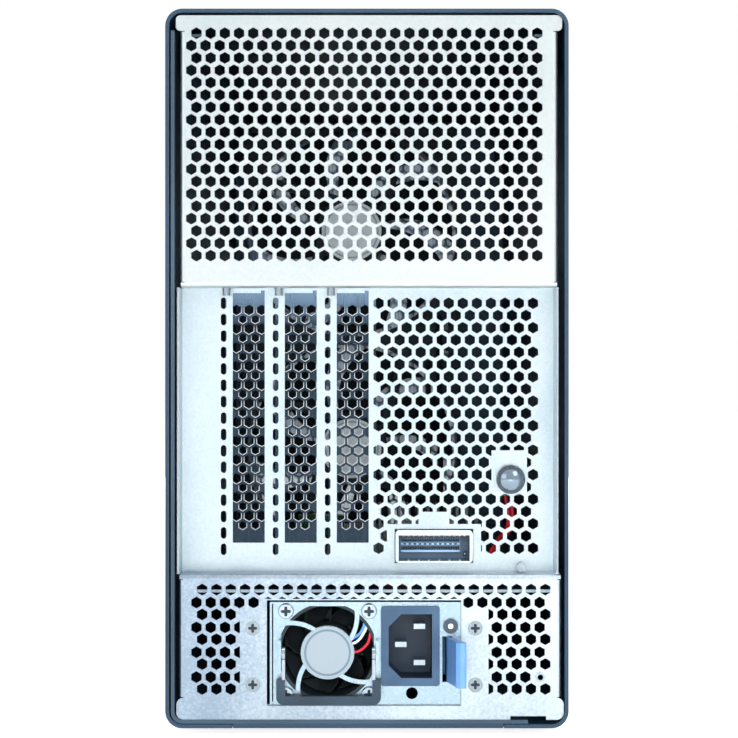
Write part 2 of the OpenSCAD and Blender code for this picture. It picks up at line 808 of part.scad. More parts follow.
module fan_rotor(z) color("black") {
  translate([fan_x, fan_y, z]) rotate([-quarter, 0, 0])
    rotor(fan_bore - 2 * blade_tip_gap, hub_d, fan_d, fan_seat_t, blade_count, blade_h, blade_pitch,
          blade_t, fan_shaft_d);
}
module fan_rotor_upper() fan_rotor(fan_z[0]);
module fan_rotor_lower() fan_rotor(fan_z[1]);

// Fan screws: from the front through the bracket into the front flanges.
fan_screw_head_d = 7;
fan_screw_head_t = 2;
fan_screw_l = 6;
module fan_screws() color("gray") {
  for (z = fan_z, sx = [-1, 1], sz = [-1, 1])
    translate([fan_x + sx * fan_screw_s / 2, bezel_y, z + sz * fan_screw_s / 2]) {
      rotate([quarter, 0, 0]) cylinder(d = fan_screw_d, h = fan_screw_l, $fn = 32);
      rotate([-quarter, 0, 0]) difference() {
        cylinder(d = fan_screw_head_d, h = fan_screw_head_t, $fn = 32);
        translate([0, 0, fan_screw_head_t]) mirror([0, 0, 1])
          cross_slot(fan_screw_head_d, fan_screw_head_t);
      }
    }
}

// Fan leads: from the lower corner of each fan down to the shelf and back to the backplane.
lead_d = 3;
lead_rise = 2.8;
lead_corner = 12;
lead_side = 6;
lead_end_in = 24;
lead_header_gap = 2;
lead_header_h = 7;
lead_header_w = 12;
lead_header_l = 8;
lead_x = [board_r - lead_end_in - lead_header_w - lead_header_gap, board_r - lead_end_in];
module fan_leads() color("dimgray") {
  for (i = [0, 1]) {
    x = fan_x + fan_s / 2 - lead_corner - i * 2 * lead_d;
    floor_z = shelf_top + lead_rise;
    start_z = fan_z[i] + (2 * i - 1) * (fan_s / 2 - lead_corner);
    wire(spline([
      [x, fan_y, start_z],
      [x, fan_y - lead_side, start_z],
      [x, fan_y - 2 * lead_side, start_z - lead_side],
      [x, fan_y - 3 * lead_side, (start_z + floor_z) / 2],
      [x, fan_y - 4 * lead_side, floor_z + lead_side],
      [lead_x[i] + lead_header_w / 2, fan_y - 8 * lead_side, floor_z],
      [lead_x[i] + lead_header_w / 2, (fan_y + board_end) / 2, floor_z],
      [lead_x[i] + lead_header_w / 2, board_end + 2 * lead_side, floor_z],
      [lead_x[i] + lead_header_w / 2, board_end, board_top + lead_header_h / 2],
      [lead_x[i] + lead_header_w / 2, board_end - lead_header_l / 2, board_top + lead_header_h / 2]
    ], 4), lead_d);
  }
}

// Front bezel: a moulded frame with a window for the grille.
bezel_edge = 3;
bezel_wall = 3;
bezel_face = 3.5;
bezel_in_r = 4.5;
window_side = 12;
window_low = 16;
window_high = 12;
window_r = 8;
window_l = left_x + window_side;
window_rt = right_x - window_side;
window_b = under_z + window_low;
window_t = case_top - window_high;
light_in = 22;
light_d = 4;
light_x = right_x - light_in;
light_z = under_z + window_low / 2;

module front_bezel() color("darkslategray") {
  difference() {
    union() {
      upright(bezel_y, bezel_d - bezel_edge) round_rect([left_x, under_z], [right_x, case_top], case_r);
      hull() {
        upright(front_y - bezel_edge - slip, slip)
          round_rect([left_x, under_z], [right_x, case_top], case_r);
        upright(front_y - bezel_edge / 3 - slip, slip)
          round_rect([left_x + bezel_edge / 3, under_z + bezel_edge / 3],
                     [right_x - bezel_edge / 3, case_top - bezel_edge / 3], case_r);
        upright(front_y - slip, slip)
          round_rect([left_x + bezel_edge, under_z + bezel_edge],
                     [right_x - bezel_edge, case_top - bezel_edge], case_r);
      }
    }
    upright(bezel_y - over, bezel_d + 2 * over)
      round_rect([window_l, window_b], [window_rt, window_t], window_r);
    upright(bezel_y - over, bezel_d - bezel_face + over)
      round_rect([left_x + bezel_wall, under_z + bezel_wall], [right_x - bezel_wall, case_top - bezel_wall],
                 bezel_in_r);
    bar_y(light_x, bezel_y, light_z, light_d + 2 * screw_gap, bezel_d + over);
  }
}

// Front grille: a perforated sheet held behind the bezel's window.
grille_t = 1;
grille_lap = 5;
grille_pitch = 11;
grille_row = 9.6;
grille_af = 9;
grille_in = 6;
grille_columns = steps(window_rt - window_l - 2 * grille_in, grille_pitch) + 1;
grille_rows = steps(window_t - window_b - 2 * grille_in, grille_row) + 1;
grille_y = front_y - bezel_face - grille_t;
grille_x = (window_l + window_rt - (grille_columns - 1) * grille_pitch) / 2;
grille_z = (window_b + window_t + (grille_rows - 1) * grille_row) / 2;

module front_grille() color("dimgray") {
  upright(grille_y, grille_t) difference() {
    rect([window_l - grille_lap, window_b - grille_lap], [window_rt + grille_lap, window_t + grille_lap]);
    for (odd = [0, 1])
      hex_grid(grille_x + odd * grille_pitch / 2, grille_z - odd * grille_row, grille_columns - odd,
               floor((grille_rows + 1 - odd) / 2), grille_pitch, 2 * grille_row, grille_af);
  }
}

// Front light: a clear pipe in the lower edge of the bezel.
light_flange = 1.2;
module front_light() color("white") {
  bar_y(light_x, grille_y, light_z, light_d, bezel_face + grille_t);
  bar_y(light_x, grille_y, light_z, light_d + light_flange, grille_t);
}

// Backplane board with the headers of the fan and power leads.
power_header_w = 22;
power_header_l = 9;
power_header_h = 10;
power_header_x = hatch_x + 1;
module backplane_board() color("darkgreen") {
  difference() {
    block([board_x, board_y, board_z], [board_r, board_end, board_top]);
    for (x = standoff_x, y = standoff_y) translate([x, y, board_z - over])
      cylinder(d = board_screw_d + screw_gap, h = board_t + 2 * over, $fn = 32);
  }
  for (x = lead_x) block([x, board_end - lead_header_l / 2 - lead_header_l, board_top],
    [x + lead_header_w, board_end - lead_header_l / 2, board_top + lead_header_h]);
  block([power_header_x, board_end - power_header_l - lead_header_l, board_top],
        [power_header_x + power_header_w, board_end - lead_header_l, board_top + power_header_h]);
}

// Card sockets: long housings with a groove for the card's edge.
socket_w = 7.5;
socket_h = 11.25;
socket_back = 46;
socket_off = 3.8;
groove_w = 1.9;
groove_end = 1.8;
groove_deep = 8;
key_back = 12.1;
key_w = 1.8;
module card_socket(i) color("black") {
  x = slot_x(i) + socket_off;
  y = slot_y + socket_back;
  difference() {
    block([x - socket_w / 2, y, board_top], [x + socket_w / 2, y + socket_l, board_top + socket_h]);
    block([x - groove_w / 2, y + groove_end, board_top + socket_h - groove_deep],
          [x + groove_w / 2, y + key_back - key_w / 2, board_top + socket_h + over]);
    block([x - groove_w / 2, y + key_back + key_w / 2, board_top + socket_h - groove_deep],
          [x + groove_w / 2, y + socket_l - groove_end, board_top + socket_h + over]);
  }
}
module card_socket_left() card_socket(0);
module card_socket_middle() card_socket(1);
module card_socket_right() card_socket(2);

// Link board, raised on spacers behind the port.
link_board_l = 96;
link_board_in = 6;
link_board_w = 42;
link_gap = 1.5;
link_x = port_x - port_w / 2 - link_board_in;
link_y = slot_y + sheet_t + link_gap;
link_z = port_z - board_t;
spacer_in = 4;
spacer_x = [link_x + spacer_in, link_x + link_board_w - spacer_in];
spacer_y = [link_y + 3 * spacer_in, link_y + link_board_l - spacer_in];

module board_standoffs() color("silver") {
  for (x = standoff_x, y = standoff_y) translate([x, y, shelf_top]) difference() {
    cylinder(d = standoff_d, h = board_lift, $fn = 6);
    translate([0, 0, -over]) cylinder(d = board_screw_d + screw_gap, h = board_lift + 2 * over, $fn = 32);
  }
  for (x = spacer_x, y = spacer_y) translate([x, y, board_top])
    cylinder(d = standoff_d, h = link_z - board_top, $fn = 32);
}

module board_screws() color("silver") {
  for (x = standoff_x, y = standoff_y) translate([x, y, board_top]) {
    mirror([0, 0, 1]) cylinder(d = board_screw_d, h = board_t + board_lift + shelf_t, $fn = 32);
    difference() {
      cylinder(d = board_screw_head_d, h = board_screw_head_t, $fn = 32);
      translate([0, 0, board_screw_head_t]) mirror([0, 0, 1])
        cross_slot(board_screw_head_d, board_screw_head_t);
    }
  }
}

// Switch chip under its finned heat sink.
chip_s = 32;
chip_t = 2;
sink_s = 44;
sink_base = 3;
sink_h = 16;
fin_t = 1.2;
fin_count = 11;
sink_gap = 20;
sink_x = port_x - port_w / 2 - link_board_in;
sink_y = link_y + link_board_l + sink_gap;
module switch_chip() color("black") {
  chip_in = (sink_s - chip_s) / 2;
  block([sink_x + chip_in, sink_y + chip_in, board_top],
        [sink_x + chip_in + chip_s, sink_y + chip_in + chip_s, board_top + chip_t]);
}
module switch_heatsink() color("silver") {
  z = board_top + chip_t;
  fin_step = (sink_s - fin_t) / (fin_count - 1);
  block([sink_x, sink_y, z], [sink_x + sink_s, sink_y + sink_s, z + sink_base]);
  for (k = [0 : fin_count - 1])
    block([sink_x + k * fin_step, sink_y, z + sink_base],
          [sink_x + k * fin_step + fin_t, sink_y + sink_s, z + sink_h]);
}

module link_board() color("darkgreen") {
  block([link_x, link_y, link_z], [link_x + link_board_w, link_y + link_board_l, port_z]);
}

// Link port cage: a sheet box that stands a little out of the slot panel.
cage_side = 1.2;
cage_floor = 0.8;
cage_roof = 2;
cage_out = 2.5;
cage_l = 62;
cage_r = 1.6;
module link_port_cage() color("silver") {
  difference() {
    upright(slot_y - cage_out, cage_l + cage_out)
      round_rect([port_x - port_w / 2, port_z], [port_x + port_w / 2, port_z + port_h], cage_r);
    upright(slot_y - cage_out - over, cage_l + cage_out)
      rect([port_x - port_w / 2 + cage_side, port_z + cage_floor],
           [port_x + port_w / 2 - cage_side, port_z + port_h - cage_roof]);
  }
}

// Link port contacts: the receptacle on the board, with two rows in a tongue.
contact_back = 6;
contact_l = 44;
tongue_in = 0.5;
tongue_right = 3.1;
tongue_low = 2.9;
tongue_h = 6.2;
row_h = 1.5;
row_low = 0.7;
row_gap = 3.4;
row_deep = 5;
row_end = 0.6;
module link_port_contacts() color("dimgray") {
  x0 = port_x - port_w / 2 + cage_side;
  x1 = port_x + port_w / 2 - cage_side;
  z0 = port_z + cage_floor;
  y0 = slot_y + contact_back;
  difference() {
    union() {
      block([x0, y0 + row_deep, z0], [x1, y0 + contact_l, port_z + port_h - cage_roof - slip]);
      block([x0 + tongue_in, y0, z0 + tongue_low],
            [x1 - tongue_right, y0 + 2 * row_deep, z0 + tongue_low + tongue_h]);
    }
    for (low = [row_low, row_low + row_gap])
      block([x0 + tongue_in + row_end, y0 - over, z0 + tongue_low + low],
            [x1 - tongue_right - row_end, y0 + row_deep, z0 + tongue_low + low + row_h]);
  }
}

// Push button: ring and barrel of one turned body, with a nut behind the panel.
button_ring_out = 2.2;
button_bore_d = button_cap_d + 2 * run_gap;
button_barrel_l = 18;
cap_proud = 0.4;
cap_out = button_travel + cap_proud;
cap_in = 2;
bore_spare = 1.3;
button_bore_l = button_ring_out + cap_in + button_travel + bore_spare;
button_nut_af = 12.6;
button_nut_t = 2.5;
pin_d = 1.2;
pin_l = 4;
pin_off = 2.5;
module mute_button_body() color("silver") {
  y = slot_y - button_ring_out;
  difference() {
    union() {
      bar_y(button_x, y, button_z, button_ring_d, button_ring_out);
      bar_y(button_x, slot_y, button_z, button_barrel_d, button_barrel_l);
      for (side = [-1, 1])
        bar_y(button_x + side * pin_off, slot_y + button_barrel_l, button_z, pin_d, pin_l);
    }
    bar_y(button_x, y - over, button_z, button_bore_d, button_bore_l + over);
  }
}
module mute_button_nut() color("silver") {
  difference() {
    translate([button_x, slot_y + sheet_t, button_z]) rotate([-quarter, 0, 0])
      cylinder(d = button_nut_af / cos(quarter / 3), h = button_nut_t, $fn = 6);
    bar_y(button_x, slot_y, button_z, button_barrel_d + 2 * screw_gap, button_nut_t + sheet_t + over);
  }
}

// Button cap: a domed pin that slides in the body.
cap_dome = 1.3;
module mute_button_cap() color("silver") {
  y = slot_y - button_ring_out - cap_out;
  dome_r = (button_cap_d * button_cap_d / 4 + cap_dome * cap_dome) / (2 * cap_dome);
  intersection() {
    bar_y(button_x, y, button_z, button_cap_d, cap_out + button_ring_out + cap_in - slip);
    translate([button_x, y + dome_r, button_z]) sphere(dome_r, $fn = 96);
  }
}

// Button leads: two wires from the pins, down past the boards to a plug on the shelf.
button_lead_d = 1.6;
lead_near_share = 0.6;
drop_gap = 2.1;
plug_w = 15.5;
plug_l = 8;
plug_h = 3.2;
plug_off = 22.7;
module mute_button_leads() color("crimson") {
  y = slot_y + button_barrel_l + pin_l;
  drop_y = (slot_y + sheet_t + board_y) / 2;
  drop_x = link_x + link_board_w + drop_gap;
  plug_x = port_x - plug_off;
  plug_y = board_y + pin_l / 2;
  low_z = shelf_top + plug_h / 2;
  for (side = [-1, 1]) {
    off = side * button_lead_d * lead_near_share;
    end_x = plug_x + plug_w / 2 + off;
    wire(spline([
      [button_x + side * pin_off, y, button_z],
      [button_x + side * pin_off, y + pin_l, button_z],
      [button_x + pin_off / 2 + off, y + pin_l, button_z - 3 * pin_l],
      [button_x + pin_off / 2 + off, y + pin_l / 2, button_z - 5 * pin_l],
      [drop_x + pin_l + off, (2 * y + drop_y) / 3, port_z + 2 * pin_l],
      [drop_x + off, drop_y + pin_l, port_z + pin_l / 2],
      [drop_x + off, drop_y, board_z],
      [drop_x - pin_off + off, drop_y + 2 * pin_l, low_z],
      [drop_x - 3 * pin_l, drop_y + 6 * pin_l - off, low_z],
      [(drop_x + end_x) / 2, drop_y + 7 * pin_l - off, low_z],
      [end_x + 2 * pin_l, drop_y + 7 * pin_l - off, low_z],
      [end_x, drop_y + 5 * pin_l, low_z],
      [end_x, plug_y + plug_l, low_z]
    ], 3), button_lead_d, 6);
  }
  block([plug_x, plug_y, shelf_top], [plug_x + plug_w, plug_y + plug_l, shelf_top + plug_h]);
}

// Power supply bay: two walls that carry the shelf, a floor between them and flanges at the rear.
bay_floor_t = 0.8;
bay_end_gap = 11;
bay_floor_gap = 0.2;
bay_l_x = bay_in_left - sheet_t;
bay_r_x = bay_in_right + sheet_t;
bay_y = panel_y + sheet_t;
bay_end = psu_end + bay_end_gap;
bay_flange_low = 7;
bay_flange_high = 14;
module psu_bay() color("lightgray") {
  difference() {
    union() {
      block([bay_l_x, bay_y, tray_top], [bay_in_left, bay_end, shelf_top - shelf_t]);
      block([bay_in_right, bay_y, tray_top], [bay_r_x, bay_end, shelf_top - shelf_t]);
      block([bay_in_left, bay_y, psu_z - bay_floor_gap - bay_floor_t],
            [bay_in_right, bay_end, psu_z - bay_floor_gap]);
      block([bay_l_x - bay_flange, bay_y, tray_top + bay_flange_low],
            [bay_l_x, bay_y + sheet_t, ledge_top - bay_flange_high]);
      block([bay_r_x, bay_y, tray_top + bay_flange_low],
            [bay_r_x + bay_flange, bay_y + sheet_t, ledge_top - bay_flange_high]);
    }
    for (x = bay_screw_x, z = bay_screw_z)
      bar_y(x, bay_y - over, z, bay_screw_d + screw_gap, sheet_t + 2 * over);
  }
}

// Bay screws: countersunk in the lower panel, into the bay's flanges.
module bay_screws() color("silver") {
  for (x = bay_screw_x, z = bay_screw_z) translate([x, panel_y, z]) rotate([-quarter, 0, 0])
    difference() {
      union() {
        cylinder(d1 = bay_screw_head_d, d2 = bay_screw_d, h = bay_screw_head_t, $fn = 48);
        cylinder(d = bay_screw_d, h = bay_screw_l, $fn = 32);
      }
      cross_slot(bay_screw_head_d, bay_screw_head_t);
    }
}

// Power board across the end of the bay, with the socket for the power supply's board.
power_board_side = 4;
socket_gap = 1;
power_socket_w = 52;
power_socket_h = 11;
edge_w = 46;
edge_out = 8;
edge_gap = 0.4;
edge_rise = 14;
edge_z = psu_z + edge_rise;
module power_board() color("darkgreen") {
  block([bay_l_x - power_board_side, bay_end, tray_top],
        [bay_r_x + power_board_side, bay_end + board_t, shelf_top - shelf_t]);
}
module power_socket() color("black") {
  z = edge_z + board_t / 2;
  difference() {
    block([bay_mid - power_socket_w / 2, psu_end + socket_gap, z - power_socket_h / 2],
          [bay_mid + power_socket_w / 2, bay_end, z + power_socket_h / 2]);
    block([bay_mid - edge_w / 2 - edge_gap, psu_end, edge_z - edge_gap],
          [bay_mid + edge_w / 2 + edge_gap, psu_end + edge_out + edge_gap, edge_z + board_t + edge_gap]);
  }
}

// Power harness: four cables from the power board up through the hatch to the backplane.
harness_d = 4.2;
harness_pitch = 5;
harness_rise = 12;
module power_harness() color("gold") {
  for (k = [0 : 3]) {
    x = power_header_x + harness_d / 2 + k * harness_pitch;
    top_z = board_top + power_header_h / 2;
    wire(spline([
      [x, bay_end + board_t + harness_d / 2, shelf_top - 2 * harness_rise],
      [x, bay_end + board_t + harness_d, shelf_top - 2 * harness_rise],
      [x, hatch_y + hatch_l / 2 - harness_d / 2, shelf_top - harness_rise],
      [x, hatch_y + hatch_l / 2, shelf_top],
      [x, hatch_y + hatch_l / 2 - harness_d, top_z + harness_d / 2],
      [x, board_end, top_z + harness_d / 4],
      [x, board_end - lead_header_l, top_z]
    ], 4), harness_d);
  }
}

// Power supply case: a sheet box, closed at its far end but for the board's slot.
psu_wall = 0.8;
face_t = 1;
latch_in = 5.4;
latch_x = psu_x - latch_in;
latch_low = 8.8;
latch_h = 17;
latch_z = psu_z + latch_low;
latch_t = 1.6;
latch_pin_d = 2;
latch_back = 22;
latch_knuckle_d = 4.4;
latch_pin_x = latch_x + latch_t / 2;
vent_count = 6;
end_vent_w = 2.4;
end_vent_pitch = 5.2;
end_vent_h = 10;
module psu_case() color("silver") {
  y0 = psu_y + face_t;
  difference() {
    block([psu_l_x, y0, psu_z], [psu_x, psu_end, psu_top]);
    block([psu_l_x + psu_wall, y0 - over, psu_z + psu_wall],
          [psu_x - psu_wall, psu_end - psu_wall, psu_top - psu_wall]);
    block([bay_mid - edge_w / 2 - edge_gap, psu_end - 2 * psu_wall, edge_z - edge_gap],
          [bay_mid + edge_w / 2 + edge_gap, psu_end + over, edge_z + board_t + edge_gap]);
    for (side = [-1, 1], k = [0 : vent_count - 1])
      translate([bay_mid + side * (k + 1) * end_vent_pitch - end_vent_w / 2, psu_end - 2 * psu_wall,
                 psu_top - end_vent_h - 2 * end_vent_w])
        cube([end_vent_w, 3 * psu_wall + over, end_vent_h]);
  }
  block([psu_l_x, psu_y, psu_z], [psu_l_x + psu_wall, y0, psu_top]);
  translate([latch_pin_x, psu_y + latch_back, psu_z + psu_wall])
    cylinder(d = latch_pin_d, h = psu_h - 2 * psu_wall, $fn = 32);
}

// Power supply face: a sheet with a swirled finger guard, and cut-outs for the inlet, light and latch.
face_in_l = 1.3;
psu_fan_in = 22.2;
psu_fan_x = psu_l_x + psu_fan_in;
psu_fan_rise = 19.85;
psu_fan_z = psu_z + psu_fan_rise;
guard_open_r = 19.2;
guard_square = 35.8;
guard_hub_r = 10.3;
guard_arm_r = 16.4;
guard_arm_w = 1.7;
guard_arm_x = -14;
guard_arm_z = -5;
guard_arm_from = 52;
guard_arm_to = 100;
inlet_w = 22.6;
inlet_h = 30.7;
inlet_in = 8.1;
inlet_rise = 7.1;
inlet_x = psu_x - inlet_in - inlet_w;
inlet_z = psu_z + inlet_rise;
inlet_lap = 1.2;
light_ring_d = 5.75;
light_ring_in = 3.9;
light_ring_rise = 30.1;
psu_light_x = psu_x - light_ring_in;
psu_light_z = psu_z + light_ring_rise;
clip_hole_d = 4.6;
clip_hole_in = 18.8;
clip_hole_rise = 4.2;
latch_gap_l = 1.7;
latch_gap_r = 0.5;
lug_t = 1.2;
lug_out = 6;
lug_h = 10.5;
pivot_out = 3.6;
pivot_rise = 19.9;
pivot_z = psu_z + pivot_rise;
pivot_y = psu_y - pivot_out;
pivot_d = 2;
bail_w = 40.1;
bail_off = 0.5;
bail_l = psu_fan_x + bail_off - bail_w / 2;
bail_r = bail_l + bail_w;
lug_in = 0.7;
lug_l = bail_l + lug_in;
lug_r = bail_r - lug_in;

module guard_arm() {
  intersection() {
    translate([guard_arm_x, guard_arm_z]) difference() {
      circle(guard_arm_r + guard_arm_w / 2);
      circle(guard_arm_r - guard_arm_w / 2);
    }
    polygon([
      [guard_arm_x, guard_arm_z],
      [guard_arm_x, guard_arm_z] + 2 * guard_arm_r * [cos(guard_arm_from), sin(guard_arm_from)],
      [guard_arm_x, guard_arm_z] + 2 * guard_arm_r * [cos(guard_arm_to), sin(guard_arm_to)]
    ]);
  }
}

module psu_face() color("gainsboro") {
  difference() {
    union() {
      upright(psu_y, face_t) {
        difference() {
          rect([psu_l_x + face_in_l, psu_z], [psu_x, psu_top]);
          translate([psu_fan_x, psu_fan_z]) intersection() {
            circle(guard_open_r);
            square([guard_square, guard_square], center = true);
          }
          rect([inlet_x + inlet_lap, inlet_z + inlet_lap],
               [inlet_x + inlet_w - inlet_lap, inlet_z + inlet_h - inlet_lap]);
          translate([psu_light_x, psu_light_z]) circle(d = light_ring_d - inlet_lap, $fn = 48);
          translate([inlet_x + inlet_w + inlet_in - clip_hole_in, psu_z + clip_hole_rise])
            circle(d = clip_hole_d, $fn = 48);
          rect([latch_x - latch_gap_l, latch_z - slip],
               [latch_x + latch_t + latch_gap_r, latch_z + latch_h + slip]);
        }
        translate([psu_fan_x, psu_fan_z]) {
          circle(guard_hub_r);
          for (turn = [0 : quarter : 3 * quarter]) rotate(turn) guard_arm();
        }
      }
      for (x = [lug_l, lug_r - lug_t])
        block([x, psu_y - lug_out, pivot_z - lug_h / 2], [x + lug_t, psu_y + slip, pivot_z + lug_h / 2]);
    }
    for (sx = [-1, 1], sz = [-1, 1])
      bar_y(psu_fan_x + sx * psu_fan_screw_s / 2, psu_y - over, psu_fan_z + sz * psu_fan_screw_s / 2,
            psu_screw_d + screw_gap, face_t + 2 * over);
    translate([lug_l - over, pivot_y, pivot_z]) rotate([0, quarter, 0])
      cylinder(d = pivot_d + 2 * run_gap, h = lug_r - lug_l + 2 * over, $fn = 32);
  }
}

// Power supply fan: a square housing behind the face, and a rotor with seven blades.
psu_fan_d = 28;
psu_screw_d = 3;
psu_screw_head_d = 6.3;
psu_screw_head_t = 1.6;
psu_screw_l = 8;
psu_seat_d = 22;
psu_seat_t = 2.5;
psu_shaft_d = 2;
psu_tube_d = 5;
psu_tube_l = 18;
psu_fan_wall = 1.1;
psu_fan_trim = 0.45;
psu_arm_w = 2.4;
psu_hub_d = 20.6;
psu_blade_t = 0.9;
psu_blade_h = 16;
psu_blade_pitch = 45;
psu_blades = 7;
module psu_fan_frame() color("black") {
  y0 = psu_y + face_t;
  difference() {
    union() {
      upright(y0, psu_fan_d) difference() {
        round_rect([psu_fan_x - psu_fan_s / 2, psu_fan_z - psu_fan_s / 2 + psu_fan_trim],
                   [psu_fan_x + psu_fan_s / 2, psu_fan_z + psu_fan_s / 2 - psu_fan_trim], 2 * psu_fan_wall);
        translate([psu_fan_x, psu_fan_z]) circle(d = psu_fan_s - 2 * psu_fan_wall);
      }
      bar_y(psu_fan_x, y0 + psu_fan_d - psu_seat_t, psu_fan_z, psu_seat_d, psu_seat_t);
      translate([psu_fan_x, y0 + psu_fan_d, psu_fan_z]) rotate([quarter, 0, 0]) {
        for (turn = [0 : quarter : 3 * quarter]) rotate(turn)
          block([0, -psu_arm_w / 2, 0], [psu_fan_s / 2 - psu_fan_wall + slip, psu_arm_w / 2, psu_seat_t]);
        cylinder(d = psu_tube_d, h = psu_tube_l);
      }
    }
    bar_y(psu_fan_x, y0 + psu_fan_d - psu_tube_l - over, psu_fan_z, psu_shaft_d + 2 * run_gap,
          psu_tube_l - psu_seat_t / 2 + over);
    for (sx = [-1, 1], sz = [-1, 1])
      bar_y(psu_fan_x + sx * psu_fan_screw_s / 2, y0 - over, psu_fan_z + sz * psu_fan_screw_s / 2,
            psu_screw_d + screw_gap, psu_screw_l);
  }
}

blade_front = 4;
module psu_fan_rotor() color("black") {
  translate([psu_fan_x, psu_y + face_t + psu_fan_d, psu_fan_z]) rotate([quarter, 0, 0])
    rotor(psu_fan_s - 2 * psu_fan_wall - hub_gap, psu_hub_d, psu_fan_d - blade_front, psu_seat_t, psu_blades,
          psu_blade_h, -psu_blade_pitch, psu_blade_t, psu_shaft_d);
}

module psu_fan_screws() color("silver") {
  for (sx = [-1, 1], sz = [-1, 1])
    translate([psu_fan_x + sx * psu_fan_screw_s / 2, psu_y, psu_fan_z + sz * psu_fan_screw_s / 2]) {
      rotate([-quarter, 0, 0]) cylinder(d = psu_screw_d, h = psu_screw_l - face_t, $fn = 32);
      rotate([quarter, 0, 0]) difference() {
        cylinder(d1 = psu_screw_head_d, d2 = psu_screw_head_d * (1 - cross_w_share), h = psu_screw_head_t,
                 $fn = 48);
        translate([0, 0, psu_screw_head_t]) mirror([0, 0, 1])
          cross_slot(psu_screw_head_d, psu_screw_head_t);
      }
    }
}

// Fan leads of the power supply: three thin wires along the fan's right side, behind the guard.
thin_lead_d = 1.1;
lead_turn = 16.2;
lead_high = 38;
lead_low = -7;
lead_lean = 12;
module psu_fan_leads() color("white") {
  y = psu_y + face_t + thin_lead_d;
  for (k = [0 : 2]) {
    r = lead_turn - k * thin_lead_d - k * slip;
    wall_r = psu_fan_s / 2 - psu_fan_wall - thin_lead_d / 2;
    turn = [lead_high + lead_lean, lead_high, (lead_high + lead_low) / 2, lead_low, lead_low - lead_lean];
    reach = [wall_r, r, r, r, wall_r];
    wire(spline([for (n = [0 : 4])
      [psu_fan_x + reach[n] * cos(turn[n]), y, psu_fan_z + reach[n] * sin(turn[n])]], 3), thin_lead_d);
  }
}

// Inlet: a moulded housing with a chamfered cavity, and three flat pins.
inlet_flange_t = 1.4;
inlet_body_d = 27;
cavity_w = 16.7;
cavity_h = 24.6;
cavity_d = 17;
cavity_chamfer = 4.9;
cavity_x = inlet_x + (inlet_w - cavity_w) / 2;
cavity_z = inlet_z + (inlet_h - cavity_h) / 2;
inlet_corner = 1;
module cavity_outline() {
  difference() {
    rect([cavity_x, cavity_z], [cavity_x + cavity_w, cavity_z + cavity_h]);
    for (z = [cavity_z, cavity_z + cavity_h]) translate([cavity_x, z]) rotate(quarter / 2)
      square(cavity_chamfer * sqrt(2), center = true);
  }
}
module inlet_housing() color("darkslategray") {
  difference() {
    union() {
      upright(psu_y - inlet_flange_t, inlet_flange_t)
        round_rect([inlet_x, inlet_z], [inlet_x + inlet_w, inlet_z + inlet_h], inlet_corner);
      upright(psu_y, inlet_body_d)
        rect([inlet_x + inlet_lap + slip, inlet_z + inlet_lap + slip],
             [inlet_x + inlet_w - inlet_lap - slip, inlet_z + inlet_h - inlet_lap - slip]);
    }
    upright(psu_y - inlet_flange_t - over, cavity_d + over) cavity_outline();
    for (p = inlet_pin_places)
      translate([p[0], psu_y, p[1]]) block([-pin_w / 2, 0, -pin_t / 2],
                                           [pin_w / 2, inlet_body_d + over, pin_t / 2]);
  }
}

pin_w = 4.4;
pin_t = 2;
pin_pitch = 14;
ground_off = 3.6;
live_off = 3.6;
pin_tip = 5.5;
pin_tail = 5;
cavity_mid_x = cavity_x + cavity_w / 2;
cavity_mid_z = cavity_z + cavity_h / 2;
inlet_pin_places = [
  [cavity_mid_x + live_off, cavity_mid_z + pin_pitch / 2],
  [cavity_mid_x - ground_off, cavity_mid_z],
  [cavity_mid_x + live_off, cavity_mid_z - pin_pitch / 2]
];
module inlet_pins() color("silver") {
  for (p = inlet_pin_places)
    translate([p[0], psu_y, p[1]]) block([-pin_w / 2, pin_tip - inlet_flange_t, -pin_t / 2],
                                         [pin_w / 2, inlet_body_d + pin_tail, pin_t / 2]);
}

// Status light: a round bezel with a lens.
light_out = 1.2;
lens_d = 2.9;
light_l = 8;
module psu_light() color("gray") {
  difference() {
    bar_y(psu_light_x, psu_y - light_out, psu_light_z, light_ring_d, light_out);
    bar_y(psu_light_x, psu_y - light_out - over, psu_light_z, lens_d + slip, over + light_out / 2);
  }
  bar_y(psu_light_x, psu_y - light_out / 3, psu_light_z, lens_d, light_l);
  bar_y(psu_light_x, psu_y, psu_light_z, light_ring_d - inlet_lap - slip, light_l);
}

// Circuit board of the power supply, with its edge contacts and its largest components.
psu_board_in = 4;
psu_board_y = psu_y + face_t + psu_fan_d + 2 * psu_board_in;
core_s = 26;
can_d = 18;
can_h = 22;
module psu_board() color("darkgreen") {
  block([psu_l_x + psu_board_in, psu_board_y, edge_z],
        [psu_x - psu_board_in, psu_end - psu_board_in, edge_z + board_t]);
  block([bay_mid - edge_w / 2, psu_end - psu_board_in, edge_z],
        [bay_mid + edge_w / 2, psu_end + edge_out, edge_z + board_t]);
  for (x = [psu_l_x + 2 * psu_board_in, psu_x - 2 * psu_board_in],
       y = [psu_board_y + psu_board_in, psu_end - 2 * psu_board_in])
    translate([x, y, psu_z + psu_wall]) cylinder(d = psu_board_in, h = edge_rise - psu_wall, $fn = 32);
  for (k = [0, 1]) translate([bay_mid - core_s + k * core_s, psu_board_y + 2 * core_s, edge_z + board_t])
    cube([core_s - psu_board_in, core_s, can_h - psu_board_in / 2]);
  for (k = [0 : 2]) translate([psu_l_x + psu_board_in + can_d / 2 + k * (can_d + slip),
                               psu_board_y + can_d, edge_z + board_t])
    cylinder(d = can_d, h = can_h, $fn = 48);
}

